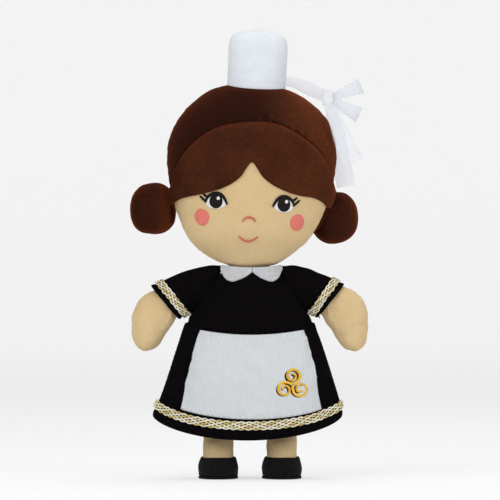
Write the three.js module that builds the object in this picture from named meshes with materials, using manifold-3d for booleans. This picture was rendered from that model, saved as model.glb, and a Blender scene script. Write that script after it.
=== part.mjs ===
// A sewn rag doll in a dress, a cap and an apron, built as separate cloth pieces round their stuffing.
// Millimetres, +Z up. The doll stands with its soles at z = 0 and faces -Y.
import * as THREE from 'three';
import { mergeVertices } from 'three/addons/utils/BufferGeometryUtils.js';
import Module from 'manifold-3d';

const wasm = await Module();
wasm.setup();

// Cloth thicknesses and clearances
const CLOTH = 1.2; // a cloth panel with its seam allowance
const FELT = 1.2; // felt of the fringe, collar, apron and cap
const THREAD = 0.8; // height of embroidery over the cloth
const BRAID = 1.8; // thickness of the woven trim
const GAP = 0.3; // clearance between pieces that touch
const SEAM = 0.3; // width of the line between two sewn panels

// Head: sections of the stuffed form, measured from the neck pivot
const NECK_X = -2; // sideways place of the neck pivot
const NECK_Z = 126; // height of the neck pivot
const HEAD_LEAN = 3; // sideways lean of the head at rest, degrees
const HEAD_HALF_WIDTH = 50.3;
const HEAD_HALF_DEPTH = 29;
const HEAD_TOP = 110.5;
const CHIN = 0.9;
const NECK_RADIUS = 6; // the stuffed neck between head and body
const FRINGE_REACH = 56; // the fringe outline runs past the sides of the head by then
const PARTING_Z = 63.1; // top of the notch where the fringe parts
const FRINGE_SIDE_Z = 38.5; // lower edge of the fringe at the sides of the head
const HAIRLINE_Z = 86.8; // top of the curved seam above the fringe
const HAIRLINE_SIDE_Z = 48; // that seam at the sides of the head

// Face
const EYE_X = 20.8;
const EYE_Z = 38.8;
const IRIS_HALF_WIDTH = 4.1;
const IRIS_HALF_HEIGHT = 4.7;
const EYE_HALF_WIDTH = 6;
const EYE_HALF_HEIGHT = 4.6;
const LID_THICKNESS = 0.8;
const LASH_LENGTH = 3;
const CHEEK_X = 28.6;
const CHEEK_Z = 28.8;
const CHEEK_HALF_WIDTH = 4.4;
const CHEEK_HALF_HEIGHT = 4.9;
const NOSE_Z = 30.6;
const NOSE_WIDTH = 7.5;
const NOSE_HEIGHT = 2.9;
const MOUTH_Z = 16.2;
const MOUTH_WIDTH = 12.2;
const MOUTH_HEIGHT = 2.6;
const STROKE = 1; // width of the nose and mouth stitches

// Tall cap on the crown
const CAP_HALF_WIDTH = 17.5;
const CAP_HALF_DEPTH = 12;
const CAP_TOP = 142.2;

// Hair buns, placed from the neck pivot
const BUN_HALF_HEIGHT = 15.9;
const BUN_HALF_DEPTH = 10.5;
const BUN_GATHER = 3; // radius of the gathered hole on the side sewn to the head
const BUN_FLOP = 12; // how far a bun flops forward or back, degrees
const BUNS = {
  left: { x: -57.2, y: -5, z: 32.7, half: 14, hinge: -46.5, over: FELT + GAP },
  right: { x: 50, y: 12, z: 33.2, half: 14.9, hinge: 45, over: 0 },
};

// Body in its dress: half widths are the doll's outline from the front
const NECKLINE_Z = 124.3;
const NECKLINE_HALF = 17.3;
const ARMPIT_Z = 97;
const ARMPIT_HALF = 36.2;
const WAIST_Z = 94.5;
const HEM_Z = 40;
const HEM_HALF = 56.3;
const HEM_SAG = 13; // how far the middle of the hem hangs below its sides
const BASE_Z = 35;
const SKIRT_HALF_DEPTH = 25.5;
const SHOULDER_X = 18.6; // upper end of the shoulder seam
const SHOULDER_Z = 126;

// Arms
const SEAM_ROLL = 3.5; // radius of the rolled seam that an arm or leg hinges on
const CUFF_TOP = [58.6, 115.4];
const CUFF_BOTTOM = [42, 95.4];
const CUFF_HALF_DEPTH = 11.5;
const HAND_HALF_DEPTH = 9.5;
const CUFF_BRAID_WIDTH = 6.4;

// Legs and slippers
const HIP_X = 19;
const HIP_Z = 29;
const LEG_HALF_WIDTH = 9;
const LEG_HALF_DEPTH = 7.8;
const SOLE = 1.6; // thickness of the sole
const SLIPPER_WALL = 1.4;
const SLIPPER_HALF_WIDTH = 12;
const SLIPPER_HALF_LENGTH = 16;
const TOE_FORWARD = 5; // how far the middle of the slipper lies in front of the leg
const SLIPPER_HEIGHT = 12.5;

// Trims
const HEM_BRAID_WIDTH = 6.2;
const HEM_TRIM_Z = 44.8; // height of the trim's middle line at the sides
const COLLAR_DROP = 117.8; // lowest height of the collar's lobes
const COLLAR_TOP = 126;
const APRON_TOP_HALF = 30.6;
const APRON_BOTTOM_HALF = 42.2;
const APRON_X = 1; // the apron sits a little to one side
const APRON_TOP_Z = 89;
const KNOT_X = 25.2; // the triple spiral on the apron
const KNOT_Z = 56.4;
const KNOT_REACH = 5.4; // from its middle to each spiral's middle
const KNOT_SPIRAL = 4.4; // outer radius of each spiral
const KNOT_BAND = 1.5;

// Ribbon bow beside the head
const RIBBON = 0.6; // thickness of the starched ribbon
const RIBBON_WIDTH = 11;
const LOOP_RISE = [24, -25]; // how steeply each loop leaves the knot, degrees

const SIDES = 20; // facets round a form
const HIDDEN = { sides: 12, rings: 8 }; // fewer facets on a face that is never seen

const FINISH = {
  skin: [0xdfc493, 0.85],
  hair: [0x4a2413, 0.95],
  black: [0x141114, 0.9],
  white: [0xe6e8ea, 0.9],
  apron: [0xd8dedf, 0.95],
  gold: [0xddc985, 0.6],
  blush: [0xe3746a, 0.8],
  eye: [0x1a1110, 0.5],
  organza: [0xf2f2f0, 0.4],
  stuffing: [0xf1efe8, 1],
  ornament: [0xf0b23c, 0.6],
};

const radians = THREE.MathUtils.degToRad;

// A closed BufferGeometry as a solid, turned right side out.
function solid(geometry) {
  const bare = geometry.clone();
  bare.deleteAttribute('normal');
  bare.deleteAttribute('uv');
  const merged = mergeVertices(bare, 1e-4);
  const triVerts = new Uint32Array(merged.index.array);
  const vertProperties = new Float32Array(merged.attributes.position.array);
  const made = new wasm.Manifold(new wasm.Mesh({ numProp: 3, vertProperties, triVerts }));
  if (made.volume() > 0) return made;
  for (let i = 0; i < triVerts.length; i += 3) triVerts.subarray(i, i + 3).reverse();
  return new wasm.Manifold(new wasm.Mesh({ numProp: 3, vertProperties, triVerts }));
}

// A named mesh with its own material from a finish.
function node(name, body, finish) {
  const { vertProperties, triVerts, numProp } = body.getMesh();
  const geometry = new THREE.BufferGeometry();
  const corners = new THREE.InterleavedBuffer(vertProperties, numProp);
  geometry.setAttribute('position', new THREE.InterleavedBufferAttribute(corners, 3, 0));
  geometry.setIndex(new THREE.BufferAttribute(triVerts, 1));
  const flat = geometry.toNonIndexed();
  flat.computeVertexNormals();
  const [color, roughness] = FINISH[finish];
  const mesh = new THREE.Mesh(flat, new THREE.MeshStandardMaterial({ color, roughness, metalness: 0 }));
  mesh.name = name;
  return mesh;
}

// One cross section of a stuffed form: two outline points [x, z], half its thickness,
// how far its middle hangs below its edges, and where its middle lies front to back.
function section(left, right, depth, droop = 0, y = 0) {
  return { left, right, depth, droop, y };
}

// A section of a form that is even on both sides of x.
const even = (z, half, depth, droop = 0, y = 0, x = 0) =>
  section([x - half, z], [x + half, z], depth, droop, y);

// The closed form through the sections, grown outwards by a distance along its outline's normals.
// An edge over 1 draws its sides in towards a seam. Before and beyond carry its two ends further out.
function stuffed(sections, grow = 0, {
  rings = 12, sides = SIDES, edge = 1.15, before = 0, beyond = 0,
} = {}) {
  const track = (pick) => new THREE.CatmullRomCurve3(sections.map(pick), false, 'catmullrom');
  const left = track((s) => new THREE.Vector3(s.left[0], s.y, s.left[1]));
  const right = track((s) => new THREE.Vector3(s.right[0], s.y, s.right[1]));
  const fullness = track((s) => new THREE.Vector3(s.depth, s.droop, 0));
  const positions = [];
  for (let i = 0; i <= rings; i++) {
    const t = i / rings;
    const [a, b] = [left.getPoint(t), right.getPoint(t)];
    const across = b.clone().sub(a).normalize();
    const ahead = new THREE.Vector3(-across.z, 0, across.x);
    const middle = a.clone().add(b).multiplyScalar(0.5);
    if (left.getTangent(t).add(right.getTangent(t)).dot(ahead) < 0) ahead.negate();
    const end = i === 0 ? -grow : i === rings ? grow : 0;
    const further = i === 0 ? -before : i === rings ? beyond : 0;
    const outwards = (curve, side) => {
      const along = curve.getTangent(t);
      const normal = new THREE.Vector3(-along.z, 0, along.x);
      if (normal.dot(across) * side < 0) normal.negate();
      return normal;
    };
    const [na, nb] = [outwards(left, -1), outwards(right, 1)];
    a.addScaledVector(na, grow).addScaledVector(ahead, end).addScaledVector(left.getTangent(t), further);
    b.addScaledVector(nb, grow).addScaledVector(ahead, end).addScaledVector(right.getTangent(t), further);
    const { x: depth, y: droop } = fullness.getPoint(t);
    const steep = (nb.dot(across) - na.dot(across)) / 2;
    const half = b.clone().sub(a).multiplyScalar(0.5);
    middle.copy(a).add(b).multiplyScalar(0.5);
    const thick = Math.max(depth + grow * steep, 0.4);
    for (let j = 0; j < sides; j++) {
      const turn = (2 * Math.PI * j) / sides;
      const swell = Math.sign(Math.sin(turn)) * Math.abs(Math.sin(turn)) ** edge;
      const point = middle.clone().addScaledVector(half, Math.cos(turn));
      positions.push(point.x, point.y + thick * swell, point.z - droop * Math.sin(turn) ** 2);
    }
  }
  const mean = (first) => {
    const sum = [0, 0, 0];
    for (let j = 0; j < sides * 3; j++) sum[j % 3] += positions[first * 3 + j] / sides;
    return sum;
  };
  const last = rings * sides;
  positions.push(...mean(0), ...mean(last));
  const [bottom, top] = [last + sides, last + sides + 1];
  const index = [];
  for (let j = 0; j < sides; j++) {
    const k = (j + 1) % sides;
    for (let i = 0; i < rings; i++) {
      const [p, q] = [i * sides + j, i * sides + k];
      index.push(p, q, q + sides, p, q + sides, p + sides);
    }
    index.push(bottom, k, j, top, last + j, last + k);
  }
  const geometry = new THREE.BufferGeometry();
  geometry.setAttribute('position', new THREE.Float32BufferAttribute(positions, 3));
  geometry.setIndex(index);
  return solid(geometry);
}

// A plate with an outline in x and z, running from y0 to y1.
function prism(outline, y0, y1) {
  const shape = outline instanceof THREE.Shape ? outline : new THREE.Shape(outline);
  const geometry = new THREE.ExtrudeGeometry(shape, {
    depth: y1 - y0,
    bevelEnabled: false,
    curveSegments: 8,
  });
  geometry.rotateX(Math.PI / 2).translate(0, y1, 0);
  return solid(geometry);
}

// A round roll between two points in the x z plane.
function roll(from, to, radius, sides = 16) {
  const [a, b] = [from, to].map(([x, z]) => new THREE.Vector3(x, 0, z));
  const geometry = new THREE.CylinderGeometry(radius, radius, a.distanceTo(b), sides);
  const turn = new THREE.Quaternion();
  turn.setFromUnitVectors(new THREE.Vector3(0, 1, 0), b.clone().sub(a).normalize());
  const middle = a.add(b).multiplyScalar(0.5);
  return solid(geometry.applyQuaternion(turn).translate(middle.x, middle.y, middle.z));
}

const ball = (radius, sides = 16) => solid(new THREE.SphereGeometry(radius, sides, sides / 2));

const vectors = (points) => points.map(([x, z]) => new THREE.Vector2(x, z));

// Points on a smooth curve through a few points.
const smooth = (points, steps = 12) => new THREE.SplineCurve(vectors(points)).getPoints(steps);

// The outline of a band of one width along a smooth curve.
function band(points, width, steps = 12) {
  const curve = new THREE.SplineCurve(vectors(points));
  const sides = [[], []];
  for (let i = 0; i <= steps; i++) {
    const [place, along] = [curve.getPoint(i / steps), curve.getTangent(i / steps)];
    const across = new THREE.Vector2(-along.y, along.x).multiplyScalar(width / 2);
    sides[0].push(place.clone().add(across));
    sides[1].unshift(place.clone().sub(across));
  }
  return [...sides[0], ...sides[1]];
}

// Points on an upright ellipse, from one angle to another in degrees.
function arc(x, z, halfWidth, halfHeight, from = 0, to = 360, steps = 16) {
  const points = [];
  const count = to - from === 360 ? steps - 1 : steps;
  for (let i = 0; i <= count; i++) {
    const angle = radians(from + ((to - from) * i) / steps);
    points.push(new THREE.Vector2(x + halfWidth * Math.cos(angle), z + halfHeight * Math.sin(angle)));
  }
  return points;
}

const FAR = 90; // beyond every piece, for cutting
const FRONT = [-FAR, -SEAM / 2];
const BACK = [SEAM / 2, FAR];

// A thin piece that lies on the front of a form and follows it.
function applied(form, thickness, outline, over = GAP) {
  const layer = form(over + thickness).subtract(form(over));
  return layer.intersect(prism(outline, ...FRONT));
}

const box = (x0, x1, z0, z1) => vectors([[x0, z0], [x1, z0], [x1, z1], [x0, z1]]);

// Head

const headForm = (grow = 0, detail = {}) => stuffed([
  even(CHIN, 11, 6),
  even(CHIN + 4.8, 21.8, 12),
  even(20, 37.6, 22),
  even(38, 45.8, 27),
  even(56, HEAD_HALF_WIDTH - 0.5, HEAD_HALF_DEPTH),
  even(74, HEAD_HALF_WIDTH, HEAD_HALF_DEPTH - 0.5),
  even(91, HEAD_HALF_WIDTH - 6.8, 25),
  even(104, HEAD_HALF_WIDTH - 21.6, 17),
  even(HEAD_TOP, 12, 7),
], grow, { rings: 13, ...detail });

const neckPocket = (extra) => ball(NECK_RADIUS + extra);

const OVER_HEAD = HEAD_TOP + 20; // beyond the head, for cutting
const SIDE_Z = HAIRLINE_SIDE_Z - 18; // where the cut of the crown leaves the head's sides

// The lower edge of the fringe: two scallops that meet at the parting.
const fringeEdge = [
  [-FRINGE_REACH, FRINGE_SIDE_Z - 3],
  [-42, FRINGE_SIDE_Z + 1],
  [-27.3, FRINGE_SIDE_Z + 4.8],
  [-13.5, FRINGE_SIDE_Z + 10],
  [-6.2, FRINGE_SIDE_Z + 16],
  [0, PARTING_Z],
];
const hairline = [
  [FRINGE_REACH, HAIRLINE_SIDE_Z - 12],
  [47.5, HAIRLINE_SIDE_Z + 6],
  [33, HAIRLINE_SIDE_Z + 28],
  [0, HAIRLINE_Z],
  [-33, HAIRLINE_SIDE_Z + 28],
  [-47.5, HAIRLINE_SIDE_Z + 6],
  [-FRINGE_REACH, HAIRLINE_SIDE_Z - 12],
];

function fringeOutline() {
  const scallop = smooth(fringeEdge, 12);
  const other = scallop.slice(0, -1).reverse().map((p) => new THREE.Vector2(-p.x, p.y));
  return [...scallop, ...other, ...smooth(hairline, 16)];
}

function headPieces() {
  const skin = headForm().subtract(headForm(-CLOTH, HIDDEN)).subtract(neckPocket(GAP));
  const stuffing = headForm(-CLOTH - GAP, HIDDEN).subtract(neckPocket(GAP));
  const above = (shift) => [
    ...smooth(hairline, 16).map((p) => p.clone().add(new THREE.Vector2(0, shift))),
    ...vectors([[-FAR, SIDE_Z], [-FAR, OVER_HEAD], [FAR, OVER_HEAD], [FAR, SIDE_Z]]),
  ];
  const crown = prism(above(SEAM / 2), ...FRONT);
  const overFace = prism(above(-SEAM / 2), ...FRONT);
  const front = skin.intersect(prism(box(-FAR, FAR, -OVER_HEAD, OVER_HEAD), ...FRONT));
  const back = skin.intersect(prism(box(-FAR, FAR, -OVER_HEAD, OVER_HEAD), ...BACK));
  return [
    node('head_stuffing', stuffing, 'stuffing'),
    node('face_panel', front.subtract(overFace), 'skin'),
    node('crown_panel', front.intersect(crown), 'hair'),
    node('back_hair_panel', back, 'hair'),
    node('fringe', applied(headForm, FELT, fringeOutline()), 'hair'),
  ];
}

function eyePieces(name, side) {
  const x = EYE_X * side;
  const iris = (extra) => arc(x, EYE_Z, IRIS_HALF_WIDTH + extra, IRIS_HALF_HEIGHT + extra);
  const white = arc(x, EYE_Z - 0.4, EYE_HALF_WIDTH, EYE_HALF_HEIGHT, 165, 375, 12);
  const lidOver = (extra) => arc(x, EYE_Z, EYE_HALF_WIDTH + extra, EYE_HALF_HEIGHT + extra, 10, 170, 8);
  const lid = [...lidOver(LID_THICKNESS + GAP), ...lidOver(GAP).reverse()];
  const lash = (angle) => {
    const [c, s] = [Math.cos(radians(angle)), Math.sin(radians(angle))];
    const root = [x + side * c * (EYE_HALF_WIDTH + 0.8), EYE_Z + s * (EYE_HALF_HEIGHT + 0.8)];
    return band([root, [root[0] + side * LASH_LENGTH * 0.8, root[1] + LASH_LENGTH * 0.6]], 0.8, 2);
  };
  const cut = (outline) => prism(outline, ...FRONT);
  const eyeLayer = headForm(GAP + THREAD).subtract(headForm(GAP));
  const underFringe = cut(fringeOutline()).translate([0, 0, -GAP]);
  const lashes = cut(lid).add(cut(lash(10))).add(cut(lash(35))).subtract(underFringe);
  const opened = cut(white).subtract(cut(iris(0.2))).subtract(lashes);
  return [
    node(`eye_white_${name}`, eyeLayer.intersect(opened), 'white'),
    node(`iris_${name}`, eyeLayer.intersect(cut(iris(0))), 'eye'),
    node(`lashes_${name}`, eyeLayer.intersect(lashes), 'eye'),
  ];
}

function facePieces() {
  const cheek = (side) => arc(CHEEK_X * side, CHEEK_Z, CHEEK_HALF_WIDTH, CHEEK_HALF_HEIGHT);
  const nose = band([
    [-NOSE_WIDTH / 2, NOSE_Z - NOSE_HEIGHT],
    [0, NOSE_Z],
    [NOSE_WIDTH / 2, NOSE_Z - NOSE_HEIGHT],
  ], STROKE, 8);
  const mouth = band([
    [-MOUTH_WIDTH / 2, MOUTH_Z + MOUTH_HEIGHT],
    [0, MOUTH_Z],
    [MOUTH_WIDTH / 2, MOUTH_Z + MOUTH_HEIGHT],
  ], STROKE, 8);
  return [
    ...eyePieces('left', -1),
    ...eyePieces('right', 1),
    node('cheek_left', applied(headForm, THREAD, cheek(-1)), 'blush'),
    node('cheek_right', applied(headForm, THREAD, cheek(1)), 'blush'),
    node('nose', applied(headForm, THREAD, nose), 'blush'),
    node('mouth', applied(headForm, THREAD, mouth), 'blush'),
  ];
}

const capForm = (grow = 0, detail = {}) => stuffed([
  even(HEAD_TOP - 10, CAP_HALF_WIDTH, CAP_HALF_DEPTH),
  even(HEAD_TOP + 6, CAP_HALF_WIDTH - 0.2, CAP_HALF_DEPTH),
  even(CAP_TOP - 11, CAP_HALF_WIDTH, CAP_HALF_DEPTH - 0.8),
  even(CAP_TOP - 4.6, CAP_HALF_WIDTH - 1.3, CAP_HALF_DEPTH - 2.6),
  even(CAP_TOP - 1.3, CAP_HALF_WIDTH - 6, CAP_HALF_DEPTH - 5.5),
  even(CAP_TOP, 5, 2.8),
], grow, { rings: 10, sides: 18, edge: 1, ...detail });

function capPieces() {
  const head = headForm(GAP);
  const skin = capForm().subtract(capForm(-FELT, HIDDEN)).subtract(head);
  const stuffing = capForm(-FELT - GAP, HIDDEN).subtract(head);
  return [node('cap', skin, 'white'), node('cap_stuffing', stuffing, 'stuffing')];
}

// A bun is a round gathered ball, carved where it lies against the head through its whole flop.
function bunPieces(name) {
  const { x, y, z, half, hinge, over } = BUNS[name];
  const form = (grow, sides) => {
    const geometry = new THREE.SphereGeometry(1, sides, sides / 2);
    geometry.scale(half + grow, BUN_HALF_DEPTH + grow, BUN_HALF_HEIGHT + grow);
    return solid(geometry.translate(x, y, z));
  };
  const clear = (grow) => {
    const head = headForm(grow, { sides: 20 });
    return [-1, 0, 1].map((k) => head.translate([-hinge, 0, 0]).rotate([0, 0, k * BUN_FLOP])
      .translate([hinge, 0, 0])).reduce((all, one) => all.add(one));
  };
  const inside = Math.sign(x) * (Math.abs(x) - half);
  const gather = roll([inside, z], [x, z], BUN_GATHER).translate([0, y, 0]);
  const skin = form(0, 18).subtract(form(-CLOTH, HIDDEN.sides)).subtract(clear(over + GAP)).subtract(gather);
  const stuffing = form(-CLOTH - GAP, HIDDEN.sides).subtract(clear(over + CLOTH));
  return [node(`bun_${name}`, skin, 'hair'), node(`bun_stuffing_${name}`, stuffing, 'stuffing')];
}

// A flat ribbon along a curve in space, with its widths from start to end.
// The width lies along a direction that turns from one end to the other.
function ribbonStrip(points, widths, from, to = from, steps = 10) {
  const curve = new THREE.CatmullRomCurve3(points.map((p) => new THREE.Vector3(...p)));
  const [start, end] = [from, to].map((d) => new THREE.Vector3(...d).normalize());
  const positions = [];
  for (let i = 0; i <= steps; i++) {
    const t = i / steps;
    const [place, along] = [curve.getPoint(t), curve.getTangent(t)];
    const across = start.clone().lerp(end, t);
    across.addScaledVector(along, -across.dot(along)).normalize();
    const step = Math.min(Math.floor(t * (widths.length - 1)), widths.length - 2);
    const width = THREE.MathUtils.lerp(widths[step], widths[step + 1], t * (widths.length - 1) - step) / 2;
    const thick = along.clone().cross(across).multiplyScalar(RIBBON / 2);
    for (const [u, v] of [[-1, -1], [1, -1], [1, 1], [-1, 1]]) {
      const corner = place.clone().addScaledVector(across, u * width).addScaledVector(thick, v);
      positions.push(...corner.toArray());
    }
  }
  const index = [0, 1, 2, 0, 2, 3];
  for (let i = 0; i < steps; i++) {
    for (let j = 0; j < 4; j++) {
      const [p, q] = [4 * i + j, 4 * i + ((j + 1) % 4)];
      index.push(p, q + 4, q, p, p + 4, q + 4);
    }
  }
  const last = 4 * steps;
  index.push(last, last + 2, last + 1, last, last + 3, last + 2);
  const geometry = new THREE.BufferGeometry();
  geometry.setAttribute('position', new THREE.Float32BufferAttribute(positions, 3));
  geometry.setIndex(index);
  return solid(geometry);
}

function ribbonPieces() {
  const knotPlace = [43.5, -3, 104];
  const knotForm = (grow) => solid(new THREE.SphereGeometry(1, 12, 7)
    .scale(4.6 + grow, 5 + grow, 5.6 + grow).translate(...knotPlace));
  const around = knotForm(GAP);
  const clear = (strip) => strip.subtract(around);
  const bandStrip = ribbonStrip(
    [[16.5, 1, 113.3], [24, 1.5, 112.2], [32.4, 1, 109.2], [40.5, -1.5, 106]],
    [5, 6.5, 8.4, 7.5], [0, -0.3, 1], [0, -0.3, 1]);
  const loop = (rise) => {
    const [c, s] = [Math.cos(radians(rise)), Math.sin(radians(rise))];
    const at = (out, y) => [knotPlace[0] + c * out, y, knotPlace[2] + s * out];
    return ribbonStrip(
      [at(2, -3.6), at(9, -7), at(17, -6.5), at(21, -2.5), at(16, 0.5), at(8, 0.5), at(2, -2)],
      [2.4, 6.4, RIBBON_WIDTH - 1.5, 6.4, 2.4], [-s, 0, c], undefined, 16);
  };
  const cap = capForm(GAP).add(headForm(GAP));
  return [
    node('ribbon_band', clear(bandStrip).subtract(cap), 'organza'),
    node('ribbon_knot', knotForm(0), 'organza'),
    node('ribbon_loop_upper', clear(loop(LOOP_RISE[0])), 'organza'),
    node('ribbon_loop_lower', clear(loop(LOOP_RISE[1])), 'organza'),
  ];
}

function ribbonTails() {
  const front = ribbonStrip(
    [[44.3, -8.1, 100.4], [49, -11.5, 90], [54.5, -13.5, 77], [60, -13, 66]],
    [6, RIBBON_WIDTH * 1.25], [1, 0.4, 0.3], [1, 0.3, 0.45], 10);
  const rear = ribbonStrip(
    [[44.5, 4.6, 99], [50, 8, 84], [54, 9.5, 66], [57, 9.5, 52]],
    [6, RIBBON_WIDTH], [1, 0.2, 0.2], [1, 0.2, 0.1], 10);
  return [node('ribbon_tail_front', front, 'organza'), node('ribbon_tail_rear', rear, 'organza')];
}

// Body

// Half the width of the bodice at a height, on the straight line of the shoulder seam.
const bodiceHalf = (z) => {
  const fall = (SHOULDER_Z - z) / (SHOULDER_Z - ARMPIT_Z);
  return SHOULDER_X + (ARMPIT_HALF - 0.6 - SHOULDER_X) * fall;
};

const bodySections = [
  even(BASE_Z, HEM_HALF - 6, 17, HEM_SAG - 1),
  even(BASE_Z + 1.4, HEM_HALF - 1.4, 22, HEM_SAG),
  even(HEM_Z, HEM_HALF, 24, HEM_SAG),
  even(HEM_Z + 9, HEM_HALF - 2.7, SKIRT_HALF_DEPTH - 0.5, HEM_SAG - 1.5),
  even(62, 49.6, SKIRT_HALF_DEPTH, 9),
  even(77, 44.8, SKIRT_HALF_DEPTH - 0.5, 8.5),
  even(WAIST_Z - 6, 39, SKIRT_HALF_DEPTH - 3.5, 8),
  even(ARMPIT_Z, ARMPIT_HALF, 19.5, 7.5),
  even(108, bodiceHalf(108), 16, 3),
  even(118, bodiceHalf(118), 12.5, 0.8),
  even(NECKLINE_Z, NECKLINE_HALF, 9),
];
const plainBody = (grow = 0, detail = {}) => stuffed(bodySections, grow, { rings: 13, ...detail });

const shoulderLine = (side, past = 0) => {
  const [dx, dz] = [SHOULDER_X - ARMPIT_HALF, SHOULDER_Z - ARMPIT_Z];
  const k = past / Math.hypot(dx, dz);
  return [
    [side * (SHOULDER_X + k * dx), SHOULDER_Z + k * dz],
    [side * (ARMPIT_HALF - k * dx), ARMPIT_Z - k * dz],
  ];
};

const hipLine = (side, past = 0) => [
  [side * (HIP_X - LEG_HALF_WIDTH - past), HIP_Z],
  [side * (HIP_X + LEG_HALF_WIDTH + past), HIP_Z],
];

// The body with its grooves for the arm and leg seams and its pocket for the neck.
function bodyForm(grow, detail) {
  const around = GAP - Math.min(grow, 0);
  let form = plainBody(grow, detail).subtract(
    neckPocket(around).translate([NECK_X, 0, NECK_Z]));
  for (const side of [-1, 1]) {
    form = form.subtract(roll(...shoulderLine(side, 4), SEAM_ROLL + around));
    form = form.subtract(roll(...hipLine(side, 1), SEAM_ROLL + around));
  }
  return form;
}

// A line across the body that hangs in the middle, as the waist and hem do.
const sagging = (z, half, sag, shift = 0) => {
  const points = [];
  for (let x = -FAR; x <= FAR; x += 10) {
    points.push(new THREE.Vector2(x, z - sag * Math.max(1 - (x / half) ** 2, -0.6) + shift));
  }
  return points;
};

function dressPieces() {
  const skin = bodyForm(0).subtract(bodyForm(-CLOTH, HIDDEN));
  const bottom = vectors([[FAR, 0], [-FAR, 0]]);
  const top = vectors([[FAR, 140], [-FAR, 140]]);
  const part = (line, rest, [y0, y1]) => skin.intersect(prism([...line, ...rest], y0, y1));
  const waist = (shift) => sagging(WAIST_Z, ARMPIT_HALF, 8, shift);
  return [
    node('body_stuffing', bodyForm(-CLOTH - GAP, HIDDEN), 'stuffing'),
    node('bodice_front', part(waist(SEAM / 2), top, FRONT), 'black'),
    node('bodice_back', part(waist(SEAM / 2), top, BACK), 'black'),
    node('skirt_front', part(waist(-SEAM / 2), bottom, FRONT), 'black'),
    node('skirt_back', part(waist(-SEAM / 2), bottom, BACK), 'black'),
  ];
}

// Collar: the neckline carried straight up, so that the felt stands a little round the neck.
const collarForm = (grow) => stuffed([
  even(108, bodiceHalf(108), 16, 3),
  even(118, bodiceHalf(118), 12.5, 0.8),
  even(NECKLINE_Z, NECKLINE_HALF, 9),
  even(COLLAR_TOP + 1, NECKLINE_HALF, 9),
], grow, { rings: 6 });

function collarPiece(name, side) {
  const outline = smooth([
    [side * 0.4, COLLAR_TOP],
    [side * 0.4, COLLAR_DROP + 5.7],
    [side * 5.2, COLLAR_DROP + 2],
    [side * 11.5, COLLAR_DROP],
    [side * 17, COLLAR_DROP + 2.6],
    [side * 19.5, COLLAR_TOP],
  ], 12);
  const felt = applied(collarForm, FELT, outline).subtract(roll(...shoulderLine(side, 2), SEAM_ROLL + GAP));
  return node(`collar_${name}`, felt, 'white');
}

function hemBraid() {
  const line = (shift) => sagging(HEM_TRIM_Z, HEM_HALF, HEM_SAG, shift);
  const outline = [...line(-HEM_BRAID_WIDTH / 2), ...line(HEM_BRAID_WIDTH / 2).reverse()];
  const inside = prism(arc(0, 0, HEM_HALF - 5, SKIRT_HALF_DEPTH - 6, 0, 360, 24), 0, HEM_Z);
  const layer = plainBody(GAP + BRAID).subtract(plainBody(GAP)).subtract(inside.rotate([90, 0, 0]));
  return node('hem_braid', layer.intersect(prism(outline, -FAR, FAR)), 'gold');
}

function apronPiece() {
  const lowest = HEM_TRIM_Z + HEM_BRAID_WIDTH / 2 + 1;
  const bottomZ = (x) => lowest - HEM_SAG * (1 - (x / HEM_HALF) ** 2);
  const outline = [
    ...smooth([
      [-APRON_TOP_HALF, APRON_TOP_Z],
      [-APRON_TOP_HALF - 4.6, 72.5],
      [-APRON_BOTTOM_HALF + 2, 55],
      [-APRON_BOTTOM_HALF, bottomZ(APRON_BOTTOM_HALF)],
    ], 8),
    ...vectors([-28, -14, 0, 14, 28].map((x) => [x, bottomZ(x)])),
    ...smooth([
      [APRON_BOTTOM_HALF, bottomZ(APRON_BOTTOM_HALF)],
      [APRON_BOTTOM_HALF - 2, 57],
      [APRON_TOP_HALF + 5.4, 73],
      [APRON_TOP_HALF, APRON_TOP_Z],
    ], 8),
    ...vectors([[14, APRON_TOP_Z - 2.2], [0, APRON_TOP_Z - 2.8], [-14, APRON_TOP_Z - 2.2]]),
  ];
  const placed = outline.map((p) => new THREE.Vector2(p.x + APRON_X, p.y));
  return node('apron', applied(plainBody, FELT, placed), 'apron');
}

// The embroidered triple spiral: three arms curl out from one middle.
function tripleSpiral() {
  const layer = plainBody(2 * GAP + FELT + THREAD).subtract(plainBody(2 * GAP + FELT));
  let figure = prism(arc(KNOT_X, KNOT_Z, 1.6, 1.6, 0, 360, 10), ...FRONT);
  for (const turn of [90, 210, 330]) {
    const [x, z] = [Math.cos(radians(turn)), Math.sin(radians(turn))];
    const spiral = [];
    for (let i = 0; i <= 7; i++) {
      const angle = radians(turn - 150 + 60 * i);
      const radius = KNOT_SPIRAL * (1 - 0.8 * (i / 8) ** 1.35);
      spiral.push([
        KNOT_X + KNOT_REACH * x + radius * Math.cos(angle),
        KNOT_Z + KNOT_REACH * z + radius * Math.sin(angle),
      ]);
    }
    figure = figure.add(prism(band([[KNOT_X, KNOT_Z], ...spiral], KNOT_BAND, 16), ...FRONT));
  }
  return node('apron_triple_spiral', layer.intersect(figure), 'ornament');
}

// Arms

const outline = (side, [x, z]) => [side * x, z];

// The sleeve runs from the shoulder seam, or from a start beyond it, to the open cuff.
function sleeveForm(side, grow, { start = 0, ...detail } = {}) {
  const at = (top, bottom, depth) => section(outline(side, top), outline(side, bottom), depth);
  const root = SEAM_ROLL + start * 0.4;
  return stuffed([
    at([SHOULDER_X + start, SHOULDER_Z - 0.4], [ARMPIT_HALF + start * 0.3, ARMPIT_Z + 0.3], root),
    at([31, 123.6], [37.6, 97.6], SEAM_ROLL + 2),
    at([45, 120.3], [39.6, 96.6], CUFF_HALF_DEPTH - 2.8),
    at(CUFF_TOP, CUFF_BOTTOM, CUFF_HALF_DEPTH),
  ], grow, { rings: 6, sides: 16, edge: 1, ...detail });
}

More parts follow.
